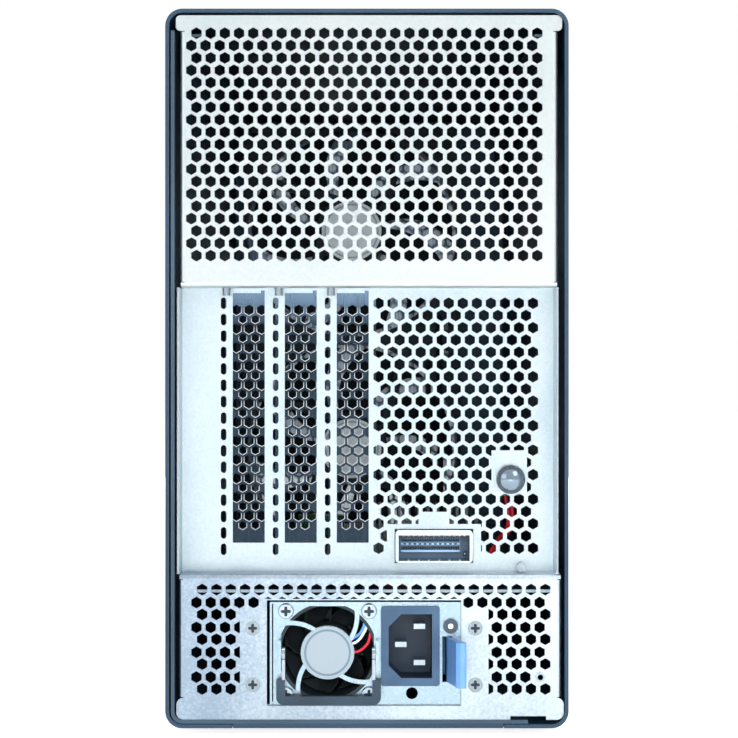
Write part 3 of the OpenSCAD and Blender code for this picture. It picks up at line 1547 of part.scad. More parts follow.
// Release latch: a moulded lever on an upright pin, slanting outwards to its thumb pad.
pad_t = 3.9;
latch_slant = 5.2;
latch_root = 2;
latch_out_y = latch_out + panel_inset;
module psu_latch() color("steelblue") {
  x1 = latch_x + latch_t;
  tip_y = psu_y - latch_out_y;
  difference() {
    union() {
      translate([0, 0, latch_z]) linear_extrude(latch_h) polygon([
        [latch_x, psu_y + latch_back],
        [latch_x, psu_y - latch_root],
        [latch_x + latch_slant + latch_t - pad_t, tip_y + pad_t],
        [latch_x + latch_slant + latch_t - pad_t, tip_y + latch_t],
        [latch_x + latch_slant + 2 * latch_t - pad_t, tip_y],
        [x1 + latch_slant - latch_t / 2, tip_y],
        [x1 + latch_slant, tip_y + latch_t / 2],
        [x1 + latch_slant, tip_y + pad_t],
        [x1, psu_y - latch_root],
        [x1, psu_y + latch_back]
      ]);
      translate([latch_pin_x, psu_y + latch_back, latch_z]) cylinder(d = latch_knuckle_d, h = latch_h);
    }
    translate([latch_pin_x, psu_y + latch_back, latch_z - over])
      cylinder(d = latch_pin_d + 2 * run_gap, h = latch_h + 2 * over, $fn = 32);
  }
}

// Bail handle: two steel arms on pivots, moulded into a U-shaped grip.
arm_t = 1.2;
arm_w = 2.2;
arm_gap = 0.25;
pivot_r = 2.6;
grip_t = 3.3;
grip_h = 3.4;
grip_leg = 9.6;
grip_low = 0.3;
grip_corner = 3;
grip_z = psu_z + grip_low;
grip_y = pivot_y - grip_t / 2;
arm_x = [lug_l + lug_t + arm_gap, lug_r - lug_t - arm_gap - arm_t];
module psu_handle_arms() color("silver") {
  for (side = [0, 1]) {
    x = arm_x[side];
    out = side == 0 ? x - arm_gap - lug_t : x;
    translate([x, pivot_y, pivot_z]) rotate([0, quarter, 0]) cylinder(r = pivot_r, h = arm_t, $fn = 32);
    block([x, pivot_y - arm_w / 2, grip_z + grip_h], [x + arm_t, pivot_y + arm_w / 2, pivot_z]);
    translate([out, pivot_y, pivot_z]) rotate([0, quarter, 0])
      cylinder(d = pivot_d, h = arm_t + arm_gap + lug_t, $fn = 32);
  }
}
module psu_handle_grip() color("dimgray") {
  difference() {
    upright(grip_y, grip_t) difference() {
      union() {
        rect([bail_l + grip_corner, grip_z], [bail_r - grip_corner, grip_z + grip_h]);
        rect([bail_l, grip_z + grip_corner], [bail_l + grip_t, grip_z + grip_leg]);
        rect([bail_r - grip_t, grip_z + grip_corner], [bail_r, grip_z + grip_leg]);
        for (side = [-1, 1])
          translate([side < 0 ? bail_l + grip_corner : bail_r - grip_corner, grip_z + grip_corner])
            intersection() {
              circle(grip_corner);
              rect([min(0, side * grip_corner), -grip_corner], [max(0, side * grip_corner), 0]);
            }
      }
    }
    for (side = [0, 1]) {
      x = arm_x[side];
      block([x, pivot_y - arm_w / 2, grip_z + grip_h], [x + arm_t, pivot_y + arm_w / 2, pivot_z]);
    }
  }
}

outer_cover();
base_plate();
inner_tray();
cover_screws();
rubber_feet();
rear_upper_panel();
rear_slot_panel();
rear_lower_panel();
panel_gaskets();
slot_cover_left();
slot_cover_middle();
slot_cover_right();
slot_screws();
ledge_stud();
ground_eyelet();
divider_shelf();
top_rails();
fan_bracket();
fan_frame_upper();
fan_frame_lower();
fan_rotor_upper();
fan_rotor_lower();
fan_screws();
fan_leads();
front_bezel();
front_grille();
front_light();
backplane_board();
card_socket_left();
card_socket_middle();
card_socket_right();
board_standoffs();
board_screws();
switch_chip();
switch_heatsink();
link_board();
link_port_cage();
link_port_contacts();
mute_button_body();
mute_button_nut();
mute_button_cap();
mute_button_leads();
psu_bay();
bay_screws();
power_board();
power_socket();
power_harness();
psu_case();
psu_face();
psu_fan_frame();
psu_fan_rotor();
psu_fan_screws();
psu_fan_leads();
inlet_housing();
inlet_pins();
psu_light();
psu_board();
psu_latch();
psu_handle_arms();
psu_handle_grip();
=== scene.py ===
import math
import bmesh
import bpy
import numpy as np
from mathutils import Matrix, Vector


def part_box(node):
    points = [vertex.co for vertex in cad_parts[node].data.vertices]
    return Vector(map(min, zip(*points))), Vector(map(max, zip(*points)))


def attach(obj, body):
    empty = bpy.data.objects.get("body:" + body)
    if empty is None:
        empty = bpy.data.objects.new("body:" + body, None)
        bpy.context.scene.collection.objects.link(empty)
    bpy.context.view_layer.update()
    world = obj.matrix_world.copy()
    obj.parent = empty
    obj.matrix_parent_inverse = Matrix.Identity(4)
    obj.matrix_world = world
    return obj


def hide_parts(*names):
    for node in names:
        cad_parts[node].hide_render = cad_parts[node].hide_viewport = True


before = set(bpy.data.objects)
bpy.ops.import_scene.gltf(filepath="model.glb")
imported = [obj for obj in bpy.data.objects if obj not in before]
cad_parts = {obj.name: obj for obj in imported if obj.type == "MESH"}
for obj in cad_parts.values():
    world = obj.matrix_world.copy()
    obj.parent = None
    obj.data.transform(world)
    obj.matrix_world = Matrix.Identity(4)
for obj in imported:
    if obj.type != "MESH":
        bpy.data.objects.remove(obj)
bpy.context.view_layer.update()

# The rear of the chassis is looked at square on, from 85 cm, with the lens axis level and at the middle of
# the case's height. The upper panel's outer face is the plane that sets the scale.
PHOTO_WIDTH = 738
SENSOR_WIDTH = 36.0
CAMERA_DISTANCE = 0.850
METRES_PER_PIXEL = 0.0003853
CAMERA_X = 0.0008
CAMERA_Z = 0.1423
panel_low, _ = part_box("rear_upper_panel")
camera_data = bpy.data.cameras.new("camera")
camera_data.sensor_width = SENSOR_WIDTH
camera_data.lens = CAMERA_DISTANCE * SENSOR_WIDTH / (PHOTO_WIDTH * METRES_PER_PIXEL)
camera = bpy.data.objects.new("camera", camera_data)
camera.location = (CAMERA_X, panel_low.y - CAMERA_DISTANCE, CAMERA_Z)
camera.rotation_euler = (math.pi / 2, 0.0, 0.0)
bpy.context.scene.collection.objects.link(camera)
bpy.context.scene.camera = camera

# Studio light: a soft box high on the right, a cooler one low on the left, one overhead and one behind
# the case. The last stands by the camera, fills the holes and makes no highlight.
def area_light(name, place, aim, size, watts, tint, highlight=True):
    """A square lamp at place, turned to face aim."""
    lamp = bpy.data.lights.new(name, "AREA")
    lamp.size = size
    lamp.energy = watts
    lamp.color = tint
    holder = bpy.data.objects.new(name, lamp)
    holder.location = place
    away = np.array(place) - np.array(aim)
    holder.rotation_euler = (
        math.acos(away[2] / np.linalg.norm(away)), 0.0, math.atan2(away[0], -away[1])
    )
    holder.visible_glossy = highlight
    bpy.context.scene.collection.objects.link(holder)


REAR = (0.0, -0.2, 0.15)
area_light("key_box", place=(1.1, -1.6, 1.4), aim=REAR, size=1.0, watts=9.0, tint=(1.0, 0.99, 0.97))
area_light("fill_box", place=(-1.3, -1.5, 0.7), aim=(0.0, -0.2, 0.12), size=1.0, watts=4.0,
           tint=(0.86, 0.94, 1.0))
area_light("top_box", place=(0.2, 0.1, 1.9), aim=(0.0, 0.0, 0.2), size=1.2, watts=14.0,
           tint=(0.97, 0.99, 1.0))
area_light("front_box", place=(0.0, 1.6, 0.7), aim=(0.0, 0.2, 0.15), size=1.4, watts=18.0,
           tint=(1.0, 1.0, 1.0))
area_light("camera_box", place=(0.08, -1.9, 0.32), aim=REAR, size=0.6, watts=40.0,
           tint=(0.96, 0.99, 1.0), highlight=False)


# Room: white paper all round. Camera, mirror and see-through rays meet it as white, and it
# lights the object a little cooler and dimmer.
def linear(colour):
    """An sRGB hex colour such as #a0b0c0, turned to linear red, green, blue and alpha."""
    parts = np.array([int(colour[i:i + 2], 16) for i in (1, 3, 5)]) / 255.0
    flat = np.where(parts <= 0.04045, parts / 12.92, ((parts + 0.055) / 1.055) ** 2.4)
    return (*flat.tolist(), 1.0)


def add(tree, kind, feeds=(), **settings):
    """Adds a node with its settings, and feeds each named input a value or another node's output."""
    new = tree.nodes.new(kind)
    for name, value in settings.items():
        setattr(new, name, value)
    for name, value in dict(feeds).items():
        if isinstance(value, bpy.types.NodeSocket):
            tree.links.new(value, new.inputs[name])
        else:
            new.inputs[name].default_value = value
    return new


def seen_rays(tree):
    """One for rays that show a surface: from the camera, off gloss or through glass."""
    path = add(tree, "ShaderNodeLightPath").outputs
    direct = add(tree, "ShaderNodeMath", {0: path["Is Camera Ray"], 1: path["Is Glossy Ray"]},
                 operation="MAXIMUM")
    return add(tree, "ShaderNodeMath", {0: direct.outputs[0], 1: path["Is Transmission Ray"]},
               operation="MAXIMUM").outputs[0]


ROOM_LIGHT = 0.36
world = bpy.data.worlds.new("paper_room")
world.use_nodes = True
world.node_tree.nodes.clear()
room = world.node_tree
lighting = add(room, "ShaderNodeBackground", {"Color": linear("#e3edf4"), "Strength": ROOM_LIGHT})
showing = add(room, "ShaderNodeBackground", {"Color": linear("#ffffff"), "Strength": 1.0})
both = add(room, "ShaderNodeMixShader",
           {0: seen_rays(room), 1: lighting.outputs[0], 2: showing.outputs[0]})
add(room, "ShaderNodeOutputWorld", {"Surface": both.outputs[0]})
bpy.context.scene.world = world
bpy.context.scene.view_settings.view_transform = "Standard"

# Floor: the same paper, laid flat. It glows only for rays that show it, so it comes out white, throws no
# extra light on the case and keeps the soft shadow under it.
FLOOR_REACH = 6.0
FLOOR_LIFT = 0.78
paper = bpy.data.materials.new("white_paper")
paper.use_nodes = True
sheet = paper.node_tree
sheet.nodes.clear()
matt = add(sheet, "ShaderNodeBsdfDiffuse", {"Color": linear("#efefef")})
lift = add(sheet, "ShaderNodeMath", {0: seen_rays(sheet), 1: FLOOR_LIFT}, operation="MULTIPLY")
glow = add(sheet, "ShaderNodeEmission", {"Color": linear("#ffffff"), "Strength": lift.outputs[0]})
laid = add(sheet, "ShaderNodeAddShader", {0: matt.outputs[0], 1: glow.outputs[0]})
add(sheet, "ShaderNodeOutputMaterial", {"Surface": laid.outputs[0]})
floor_mesh = bpy.data.meshes.new("floor")
floor_mesh.from_pydata(
    [(-FLOOR_REACH, -FLOOR_REACH, 0.0), (FLOOR_REACH, -FLOOR_REACH, 0.0),
     (FLOOR_REACH, FLOOR_REACH, 0.0), (-FLOOR_REACH, FLOOR_REACH, 0.0)],
    [], [(0, 1, 2, 3)],
)
floor_mesh.materials.append(paper)
floor_sheet = bpy.data.objects.new("floor", floor_mesh)
bpy.context.scene.collection.objects.link(floor_sheet)


# Cover, base plate, inner tray, fan bracket and top rails: pressed steel in slate-blue polyester powder
# coat. The powder flows into a fine orange peel, so the gloss is soft and slightly broken.
def started(name):
    """An empty node material of this name, and its tree."""
    made = bpy.data.materials.new(name)
    made.use_nodes = True
    made.node_tree.nodes.clear()
    return made, made.node_tree


def per_metre(millimetres):
    """The scale of a texture whose features measure this many millimetres."""
    return 1000.0 / millimetres


def powder_coat(name, low_colour, high_colour, roughness):
    """Powder coat: the colour drifts over 60 mm between two close shades, on a 1.4 mm orange peel."""
    coat, tree = started(name)
    place = add(tree, "ShaderNodeTexCoord").outputs["Object"]
    drift = add(tree, "ShaderNodeTexNoise", {"Vector": place, "Scale": per_metre(60.0), "Detail": 2.0})
    spread = add(tree, "ShaderNodeMapRange", {0: drift.outputs[0], 1: 0.35, 2: 0.65})
    shade = add(tree, "ShaderNodeMix",
                {0: spread.outputs[0], 6: linear(low_colour), 7: linear(high_colour)}, data_type="RGBA")
    peel = add(tree, "ShaderNodeTexNoise", {"Vector": place, "Scale": per_metre(1.4), "Detail": 3.0})
    skin = add(tree, "ShaderNodeBump", {"Height": peel.outputs[0], "Strength": 0.35, "Distance": 0.0002})
    shader = add(tree, "ShaderNodeBsdfPrincipled",
                 {"Base Color": shade.outputs[2], "Roughness": roughness, "Normal": skin.outputs[0]})
    add(tree, "ShaderNodeOutputMaterial", {"Surface": shader.outputs[0]})
    return coat


def dress(names, material):
    """Gives each CAD node this one material."""
    for name in names:
        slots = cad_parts[name].data.materials
        slots.clear()
        slots.append(material)


cover_coat = powder_coat("slate_powder_coat", "#1c3244", "#23394c", 0.46)
tray_coat = powder_coat("tray_powder_coat", "#2c3d4b", "#354858", 0.5)
dress(["outer_cover", "base_plate"], cover_coat)
dress(["inner_tray", "fan_bracket", "top_rails"], tray_coat)


# Rear panels, shelf and bay: skin-passed galvanised sheet. Rolling has broken the zinc's spangles into a
# fine frosty grain, under slow clouds where the sheet is brighter or duller. A painted shade darkens the
# three rear panels towards their left.
def galvanised(name, dark, light, cloud_mm, roughness, painted_shade_slope=0.0):
    """Rolled zinc: a 1.1 mm grain and a 1 mm sparkle, added to clouds of the given size and to a slope
    along X, a painted shade by which the sheet gets darker to the left, as much per metre as the last
    argument says."""
    zinc, tree = started(name)
    place = add(tree, "ShaderNodeTexCoord").outputs["Object"]
    cloud = add(tree, "ShaderNodeTexNoise",
                {"Vector": place, "Scale": per_metre(cloud_mm), "Detail": 2.0})
    grain = add(tree, "ShaderNodeTexNoise",
                {"Vector": place, "Scale": per_metre(1.1), "Detail": 5.0, "Roughness": 0.7})
    cells = add(tree, "ShaderNodeTexVoronoi", {"Vector": place, "Scale": per_metre(1.0)})
    sparkle = add(tree, "ShaderNodeSeparateColor", {0: cells.outputs["Color"]})
    mixed = add(tree, "ShaderNodeMath", {0: sparkle.outputs[0], 1: 0.2, 2: grain.outputs[0]},
                operation="MULTIPLY_ADD")
    tone = add(tree, "ShaderNodeMath", {0: cloud.outputs[0], 1: 1.1, 2: mixed.outputs[0]},
               operation="MULTIPLY_ADD")
    apart = add(tree, "ShaderNodeSeparateXYZ", {0: place})
    shade_sloped = add(tree, "ShaderNodeMath", {0: apart.outputs[0], 1: painted_shade_slope, 2: tone.outputs[0]},
                operation="MULTIPLY_ADD")
    spread = add(tree, "ShaderNodeMapRange", {0: shade_sloped.outputs[0], 1: 0.75, 2: 1.5})
    shade = add(tree, "ShaderNodeMix", {0: spread.outputs[0], 6: linear(dark), 7: linear(light)},
                data_type="RGBA")
    gloss = add(tree, "ShaderNodeMapRange",
                {0: sparkle.outputs[1], 3: roughness - 0.04, 4: roughness + 0.06})
    skin = add(tree, "ShaderNodeBump", {"Height": grain.outputs[0], "Strength": 0.1, "Distance": 0.0001})
    shader = add(tree, "ShaderNodeBsdfPrincipled",
                 {"Base Color": shade.outputs[2], "Metallic": 1.0, "Roughness": gloss.outputs[0],
                  "Normal": skin.outputs[0]})
    add(tree, "ShaderNodeOutputMaterial", {"Surface": shader.outputs[0]})
    return zinc


# The last number is a painted shade: how fast each rear panel darkens towards its left.
upper_zinc = galvanised("galvanised_upper", "#c2cdd0", "#d3d7d7", 60.0, 0.42, 1.5)
slot_zinc = galvanised("galvanised_slot", "#b9c8d0", "#cdd9df", 45.0, 0.4, 0.8)
lower_zinc = galvanised("galvanised_lower", "#98aabb", "#d2dfe7", 50.0, 0.38, 4.0)
inner_zinc = galvanised("galvanised_inner", "#7c8e9b", "#aebcc6", 50.0, 0.45)
dress(["rear_upper_panel"], upper_zinc)
dress(["rear_slot_panel"], slot_zinc)
dress(["rear_lower_panel"], lower_zinc)
dress(["divider_shelf", "psu_bay"], inner_zinc)


# Slot covers: thin cold-rolled strip, pressed and zinc plated. It is dark beside the panels. Towards the
# top, where the bend to the tab begins, a painted highlight makes its colour bright.
def plated(name, colour, roughness, streak_mm, depth):
    """Plated or brushed metal: fine streaks along Z that break the gloss."""
    plate, tree = started(name)
    place = add(tree, "ShaderNodeTexCoord").outputs["Object"]
    drawn = add(tree, "ShaderNodeMapping", {"Vector": place, "Scale": (1.0, 1.0, 0.08)})
    grain = add(tree, "ShaderNodeTexNoise",
                {"Vector": drawn.outputs[0], "Scale": per_metre(streak_mm), "Detail": 4.0})
    gloss = add(tree, "ShaderNodeMapRange",
                {0: grain.outputs[0], 1: 0.3, 2: 0.7, 3: roughness - 0.07, 4: roughness + 0.09})
    skin = add(tree, "ShaderNodeBump", {"Height": grain.outputs[0], "Strength": 0.2, "Distance": depth})
    shader = add(tree, "ShaderNodeBsdfPrincipled",
                 {"Base Color": linear(colour), "Metallic": 1.0, "Roughness": gloss.outputs[0],
                  "Normal": skin.outputs[0]})
    add(tree, "ShaderNodeOutputMaterial", {"Surface": shader.outputs[0]})
    return plate


strip_plate = plated("plated_strip_with_painted_highlight", "#2c3742", 0.3, 0.7, 0.00005)
dress(["slot_cover_left", "slot_cover_middle", "slot_cover_right"], strip_plate)


def shaded_along(material, axis, start, end, after):
    """Paints light or shade into a material's colour along an axis: scales it by one up to start, by after
    from end on, and evenly between the two."""
    tree = material.node_tree
    shader = next(node for node in tree.nodes if node.type == "BSDF_PRINCIPLED")
    colour = shader.inputs["Base Color"]
    source = colour.links[0].from_socket if colour.is_linked else tuple(colour.default_value)
    place = add(tree, "ShaderNodeTexCoord").outputs["Object"]
    apart = add(tree, "ShaderNodeSeparateXYZ", {0: place})
    share = add(tree, "ShaderNodeMapRange", {0: apart.outputs[axis], 1: start, 2: end, 3: 1.0, 4: after})
    scaled = add(tree, "ShaderNodeHueSaturation", {"Color": source, "Value": share.outputs[0]})
    tree.links.new(scaled.outputs[0], colour)


# Painted highlight: over the top 16 mm of the covers the strip's colour rises to six times itself, fully
# so from 4 mm below the top.
PAINTED_HIGHLIGHT = 6.0
PAINTED_HIGHLIGHT_START = 0.016
PAINTED_HIGHLIGHT_FULL = 0.004
_, strip_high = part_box("slot_cover_middle")
shaded_along(strip_plate, 2, strip_high.z - PAINTED_HIGHLIGHT_START, strip_high.z - PAINTED_HIGHLIGHT_FULL, PAINTED_HIGHLIGHT)

# Screws, studs and standoffs: bright zinc-plated steel, small enough that their gloss is all one sees.
# The eyelet, port cage, inlet pins, handle arms and the small fan's screws are nickel plated, and paler.
zinc_plate = plated("bright_zinc_plate", "#98a3aa", 0.28, 0.5, 0.00003)
nickel_plate = plated("nickel_plate", "#adb8c0", 0.18, 0.6, 0.00002)
dress(["cover_screws", "slot_screws", "ledge_stud", "fan_screws", "board_standoffs", "board_screws",
       "bay_screws"], zinc_plate)
dress(["ground_eyelet", "link_port_cage", "psu_fan_screws", "inlet_pins", "psu_handle_arms"],
      nickel_plate)


# Rubber feet: moulded black rubber, matt, with a fine dusty bloom that pales it a little. They are
# screwed to the base plate.
def moulded(name, low_colour, high_colour, roughness, grain_mm, depth):
    """Moulded plastic or rubber: spark-eroded grain, and a drift of colour over 14 mm."""
    plastic, tree = started(name)
    place = add(tree, "ShaderNodeTexCoord").outputs["Object"]
    drift = add(tree, "ShaderNodeTexNoise", {"Vector": place, "Scale": per_metre(14.0), "Detail": 2.0})
    spread = add(tree, "ShaderNodeMapRange", {0: drift.outputs[0], 1: 0.35, 2: 0.65})
    shade = add(tree, "ShaderNodeMix",
                {0: spread.outputs[0], 6: linear(low_colour), 7: linear(high_colour)}, data_type="RGBA")
    grain = add(tree, "ShaderNodeTexNoise",
                {"Vector": place, "Scale": per_metre(grain_mm), "Detail": 2.0})
    skin = add(tree, "ShaderNodeBump", {"Height": grain.outputs[0], "Strength": 0.3, "Distance": depth})
    shader = add(tree, "ShaderNodeBsdfPrincipled",
                 {"Base Color": shade.outputs[2], "Roughness": roughness, "Normal": skin.outputs[0]})
    add(tree, "ShaderNodeOutputMaterial", {"Surface": shader.outputs[0]})
    return plastic


foot_rubber = moulded("foot_rubber", "#101113", "#17181b", 0.75, 0.6, 0.0001)
dress(["rubber_feet"], foot_rubber)


# Gasket strips: knitted wire stocking over a foam core, pressed on to the returns' edges. Each strip is
# a core with six thin wires wound round it, three to each hand, so that they cross.
def shown(name, points, faces, material, body, smooth=True):
    """Makes a closed mesh piece from points and faces, faces it outwards, and lets it ride on a body."""
    mesh = bpy.data.meshes.new(name)
    mesh.from_pydata(points.tolist(), [], faces)
    turned = bmesh.new()
    turned.from_mesh(mesh)
    bmesh.ops.recalc_face_normals(turned, faces=turned.faces)
    turned.to_mesh(mesh)
    turned.free()
    mesh.polygons.foreach_set("use_smooth", np.full(len(mesh.polygons), smooth))
    mesh.materials.append(material)
    piece = bpy.data.objects.new(name, mesh)
    bpy.context.scene.collection.objects.link(piece)
    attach(piece, body)
    return piece


def sleeve_faces(rows, columns):
    """Four-sided faces between the rows of a grid whose columns close on themselves, and a flat face over
    the first and the last row."""
    row = np.arange(rows - 1)[:, None] * columns
    column = np.arange(columns)[None, :]
    following = (column + 1) % columns
    above = row + columns
    quads = np.stack([row + column, row + following, above + following, above + column], axis=-1)
    faces = quads.reshape(-1, 4).tolist()
    faces.append(list(range(columns - 1, -1, -1)))
    faces.append(list(range((rows - 1) * columns, rows * columns)))
    return faces


def tube(path, radius, sides):
    """A round tube along a path: rings of equal angle about the path's direction, with flat ends. The
    rings start square to the path and to a fixed line that no path here runs along."""
    heading = np.gradient(path, axis=0)
    heading /= np.linalg.norm(heading, axis=1, keepdims=True)
    fixed_line = np.array([0.31, 0.87, 0.38])
    first = np.cross(heading, fixed_line)
    first /= np.linalg.norm(first, axis=1, keepdims=True)
    second = np.cross(heading, first)
    turn = np.linspace(0.0, 2.0 * np.pi, sides, endpoint=False)
    cosine, sine = np.cos(turn)[None, :, None], np.sin(turn)[None, :, None]
    ring = cosine * first[:, None, :] + sine * second[:, None, :]
    points = (path[:, None, :] + radius * ring).reshape(-1, 3)
    return points, sleeve_faces(len(path), sides)


def several(parts):
    """Joins (points, faces) pairs that were each numbered from zero."""
    points, faces, start = [], [], 0
    for some_points, some_faces in parts:
        points.append(some_points)
        faces.extend([[i + start for i in face] for face in some_faces])
        start += len(some_points)
    return np.concatenate(points), faces


GASKET_WIRE = 0.00022
GASKET_LAY = 0.0040
GASKET_WIDE = 0.001
GASKET_WIRES = 6
GASKET_END = 0.0004
CORE_STEPS = 40
WIRE_STEPS = 620
CORE_RADIUS = 0.00034
WIND_ACROSS = 0.00036
WIND_DEEP = 0.00058
LOOP_SWING = 0.35
gasket_wire = plated("knitted_wire", "#d5e2ea", 0.35, 0.5, 0.00003)
gasket_low, gasket_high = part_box("panel_gaskets")
gasket_y = (gasket_low.y + gasket_high.y) / 2
core_run = np.linspace(gasket_low.z, gasket_high.z, CORE_STEPS)
run = np.linspace(gasket_low.z + GASKET_END, gasket_high.z - GASKET_END, WIRE_STEPS)
lay_turn = 2.0 * np.pi * run / GASKET_LAY
gasket_parts = []
for gasket_x in (gasket_low.x + GASKET_WIDE / 2, gasket_high.x - GASKET_WIDE / 2):
    core = np.stack([np.full(CORE_STEPS, gasket_x), np.full(CORE_STEPS, gasket_y), core_run], axis=1)
    gasket_parts.append(tube(core, CORE_RADIUS, 8))
    for strand in range(GASKET_WIRES):
        hand = 1.0 if strand % 2 else -1.0
        angle = hand * lay_turn + strand * 2.0 * np.pi / GASKET_WIRES
        angle += LOOP_SWING * np.sin(3.0 * lay_turn + strand)
        wire = np.stack([gasket_x + WIND_ACROSS * np.cos(angle),
                         gasket_y + WIND_DEEP * np.sin(angle), run], axis=1)
        gasket_parts.append(tube(wire, GASKET_WIRE / 2, 4))
gasket_points, gasket_faces = several(gasket_parts)
gaskets = shown("knitted_gaskets", gasket_points, gasket_faces, gasket_wire, "chassis")
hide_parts("panel_gaskets")

# Fan frames: glass-filled PBT, moulded matt black, screwed to the bracket. The small fan's frame is the
# same plastic.
fan_plastic = moulded("black_pbt", "#1c2429", "#252f35", 0.55, 0.8, 0.00008)
dress(["fan_frame_upper", "fan_frame_lower", "psu_fan_frame"], fan_plastic)


# Chassis fan rotors: black moulded impellers, with seven swept blades on a cup that covers the motor. A
# round satin label is stuck to the hub of each frame, and stands still.
def lathe(profile, centre, segments=72):
    """Turns (radius, y) points round an axis along Y, and closes both ends with a flat face."""
    turn = np.linspace(0.0, 2.0 * np.pi, segments, endpoint=False)
    radius = np.array([p[0] for p in profile])[:, None]
    along = np.array([p[1] for p in profile])[:, None]
    x = centre[0] + radius * np.cos(turn)[None, :]
    z = centre[2] + radius * np.sin(turn)[None, :]
    y = centre[1] + along + 0.0 * turn[None, :]
    return np.stack([x, y, z], axis=-1).reshape(-1, 3), sleeve_faces(len(profile), segments)


RING_WIDE = 0.0008


def label_stock(name, centre, ring_mm, ring_colour, ground):
    """Satin label stock with one printed ring, its middle ring_mm away from the label's centre."""
    stock, tree = started(name)
    place = add(tree, "ShaderNodeTexCoord").outputs["Object"]
    centred = add(tree, "ShaderNodeMapping", {"Vector": place, "Location": tuple(-c for c in centre)})
    reach = add(tree, "ShaderNodeVectorMath", {0: centred.outputs[0]}, operation="LENGTH")
    ring = add(tree, "ShaderNodeMath",
               {0: reach.outputs["Value"], 1: ring_mm / 1000.0, 2: RING_WIDE / 2}, operation="COMPARE")
    shade = add(tree, "ShaderNodeMix", {0: ring.outputs[0], 6: linear(ground), 7: linear(ring_colour)},
                data_type="RGBA")
    fibre = add(tree, "ShaderNodeTexNoise", {"Vector": place, "Scale": per_metre(0.5), "Detail": 2.0})
    skin = add(tree, "ShaderNodeBump", {"Height": fibre.outputs[0], "Strength": 0.1, "Distance": 0.00005})
    shader = add(tree, "ShaderNodeBsdfPrincipled",
                 {"Base Color": shade.outputs[2], "Roughness": 0.45, "Normal": skin.outputs[0]})
    add(tree, "ShaderNodeOutputMaterial", {"Surface": shader.outputs[0]})
    return stock


def blade(root, tip, chord_root, chord_tip, lean_root, lean_tip, sweep, thick, mid_y, start):
    """A fan blade: an oval section, fuller towards one edge, bowed by 9 % of its chord and leaned by an
    angle, carried from root radius to tip radius while it sweeps round, faster towards the tip. Its chord
    lies partly along Y and partly round it."""
    sections, sides = 12, 22
    reach = np.linspace(0.0, 1.0, sections)[:, None]
    around = np.linspace(0.0, 2.0 * np.pi, sides, endpoint=False)[None, :]
    radius = root + (tip - root) * reach
    chord = chord_root + (chord_tip - chord_root) * reach
    lean = lean_root + (lean_tip - lean_root) * reach
    along = 0.5 * chord * np.cos(around)
    camber = 0.09 * chord * (1.0 - np.cos(around) ** 2)
    across = 0.5 * thick * np.sin(around) * (1.0 - 0.35 * np.cos(around)) + camber
    axial = along * np.sin(lean) + across * np.cos(lean)
    arc = along * np.cos(lean) - across * np.sin(lean)
    angle = start + arc / radius + sweep * reach ** 1.5
    return radius, axial + mid_y, angle


def cup_and_shaft(radius, depth, shaft):
    """Profile of a hub: from its shaft's end up to the cup's ceiling, round the rim, over the crown."""
    wall, roof, rim = 0.0015, 0.003, 0.001
    lip, shoulder, crown, boss = 0.0003, 0.0016, 0.002, 0.004
    return [(shaft, 0.0), (shaft, depth - roof), (radius - wall, depth - roof), (radius - wall, rim),
            (radius - lip, rim), (radius, rim + 0.0004), (radius, depth - shoulder),
            (radius - 0.0005, depth - 0.0004), (radius - crown, depth), (boss, depth)]


def impeller(centre, blades, hub_profile, shape):
    """All blades at once, each a closed sleeve of sections, and the turned cup of the hub."""
    radius, axial, angle = shape
    rows, columns = axial.shape
    parts = [lathe(hub_profile, centre)]
    for count in range(blades):
        turned = angle + 2.0 * np.pi * count / blades
        points = np.stack([centre[0] + radius * np.cos(turned), centre[1] + axial,
                           centre[2] + radius * np.sin(turned)], axis=-1).reshape(-1, 3)
        parts.append((points, sleeve_faces(rows, columns)))
    return several(parts)


rotor_plastic = moulded("black_impeller_pbt", "#15191c", "#20262a", 0.42, 1.2, 0.00006)
BLADES = 7
HUB_RADIUS = 0.020
HUB_SINK = 0.0008
SHAFT_RADIUS = 0.0015
LABEL_RADIUS = 0.0165
LABEL_THICK = 0.0002
LABEL_RING_MM = 14.6
for place in ("upper", "lower"):
    low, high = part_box("fan_rotor_" + place)
    frame_low, frame_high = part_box("fan_frame_" + place)
    middle = ((frame_low.x + frame_high.x) / 2, low.y, (frame_low.z + frame_high.z) / 2)
    depth = high.y - low.y
    tip_radius = (high.x - low.x) / 2
    cup = cup_and_shaft(HUB_RADIUS, depth, SHAFT_RADIUS)
    shape = blade(root=HUB_RADIUS - HUB_SINK, tip=tip_radius, chord_root=0.0195, chord_tip=0.041,
                  lean_root=0.72, lean_tip=0.46, sweep=-0.45, thick=0.0022, mid_y=0.0108, start=0.66)
    rotor_points, rotor_faces = impeller(middle, BLADES, cup, shape)
    rotor = shown("impeller_" + place, rotor_points, rotor_faces, rotor_plastic, "fan_spin_" + place)
    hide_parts("fan_rotor_" + place)
    label_centre = (middle[0], frame_low.y, middle[2])
    paper_label = label_stock("fan_label_" + place, label_centre, LABEL_RING_MM, "#9fb0ba", "#e9f2f8")
    label_points, label_faces = lathe([(LABEL_RADIUS, 0.0), (LABEL_RADIUS, -LABEL_THICK)], label_centre)
    label = shown("hub_label_" + place, label_points, label_faces, paper_label, "chassis", smooth=False)


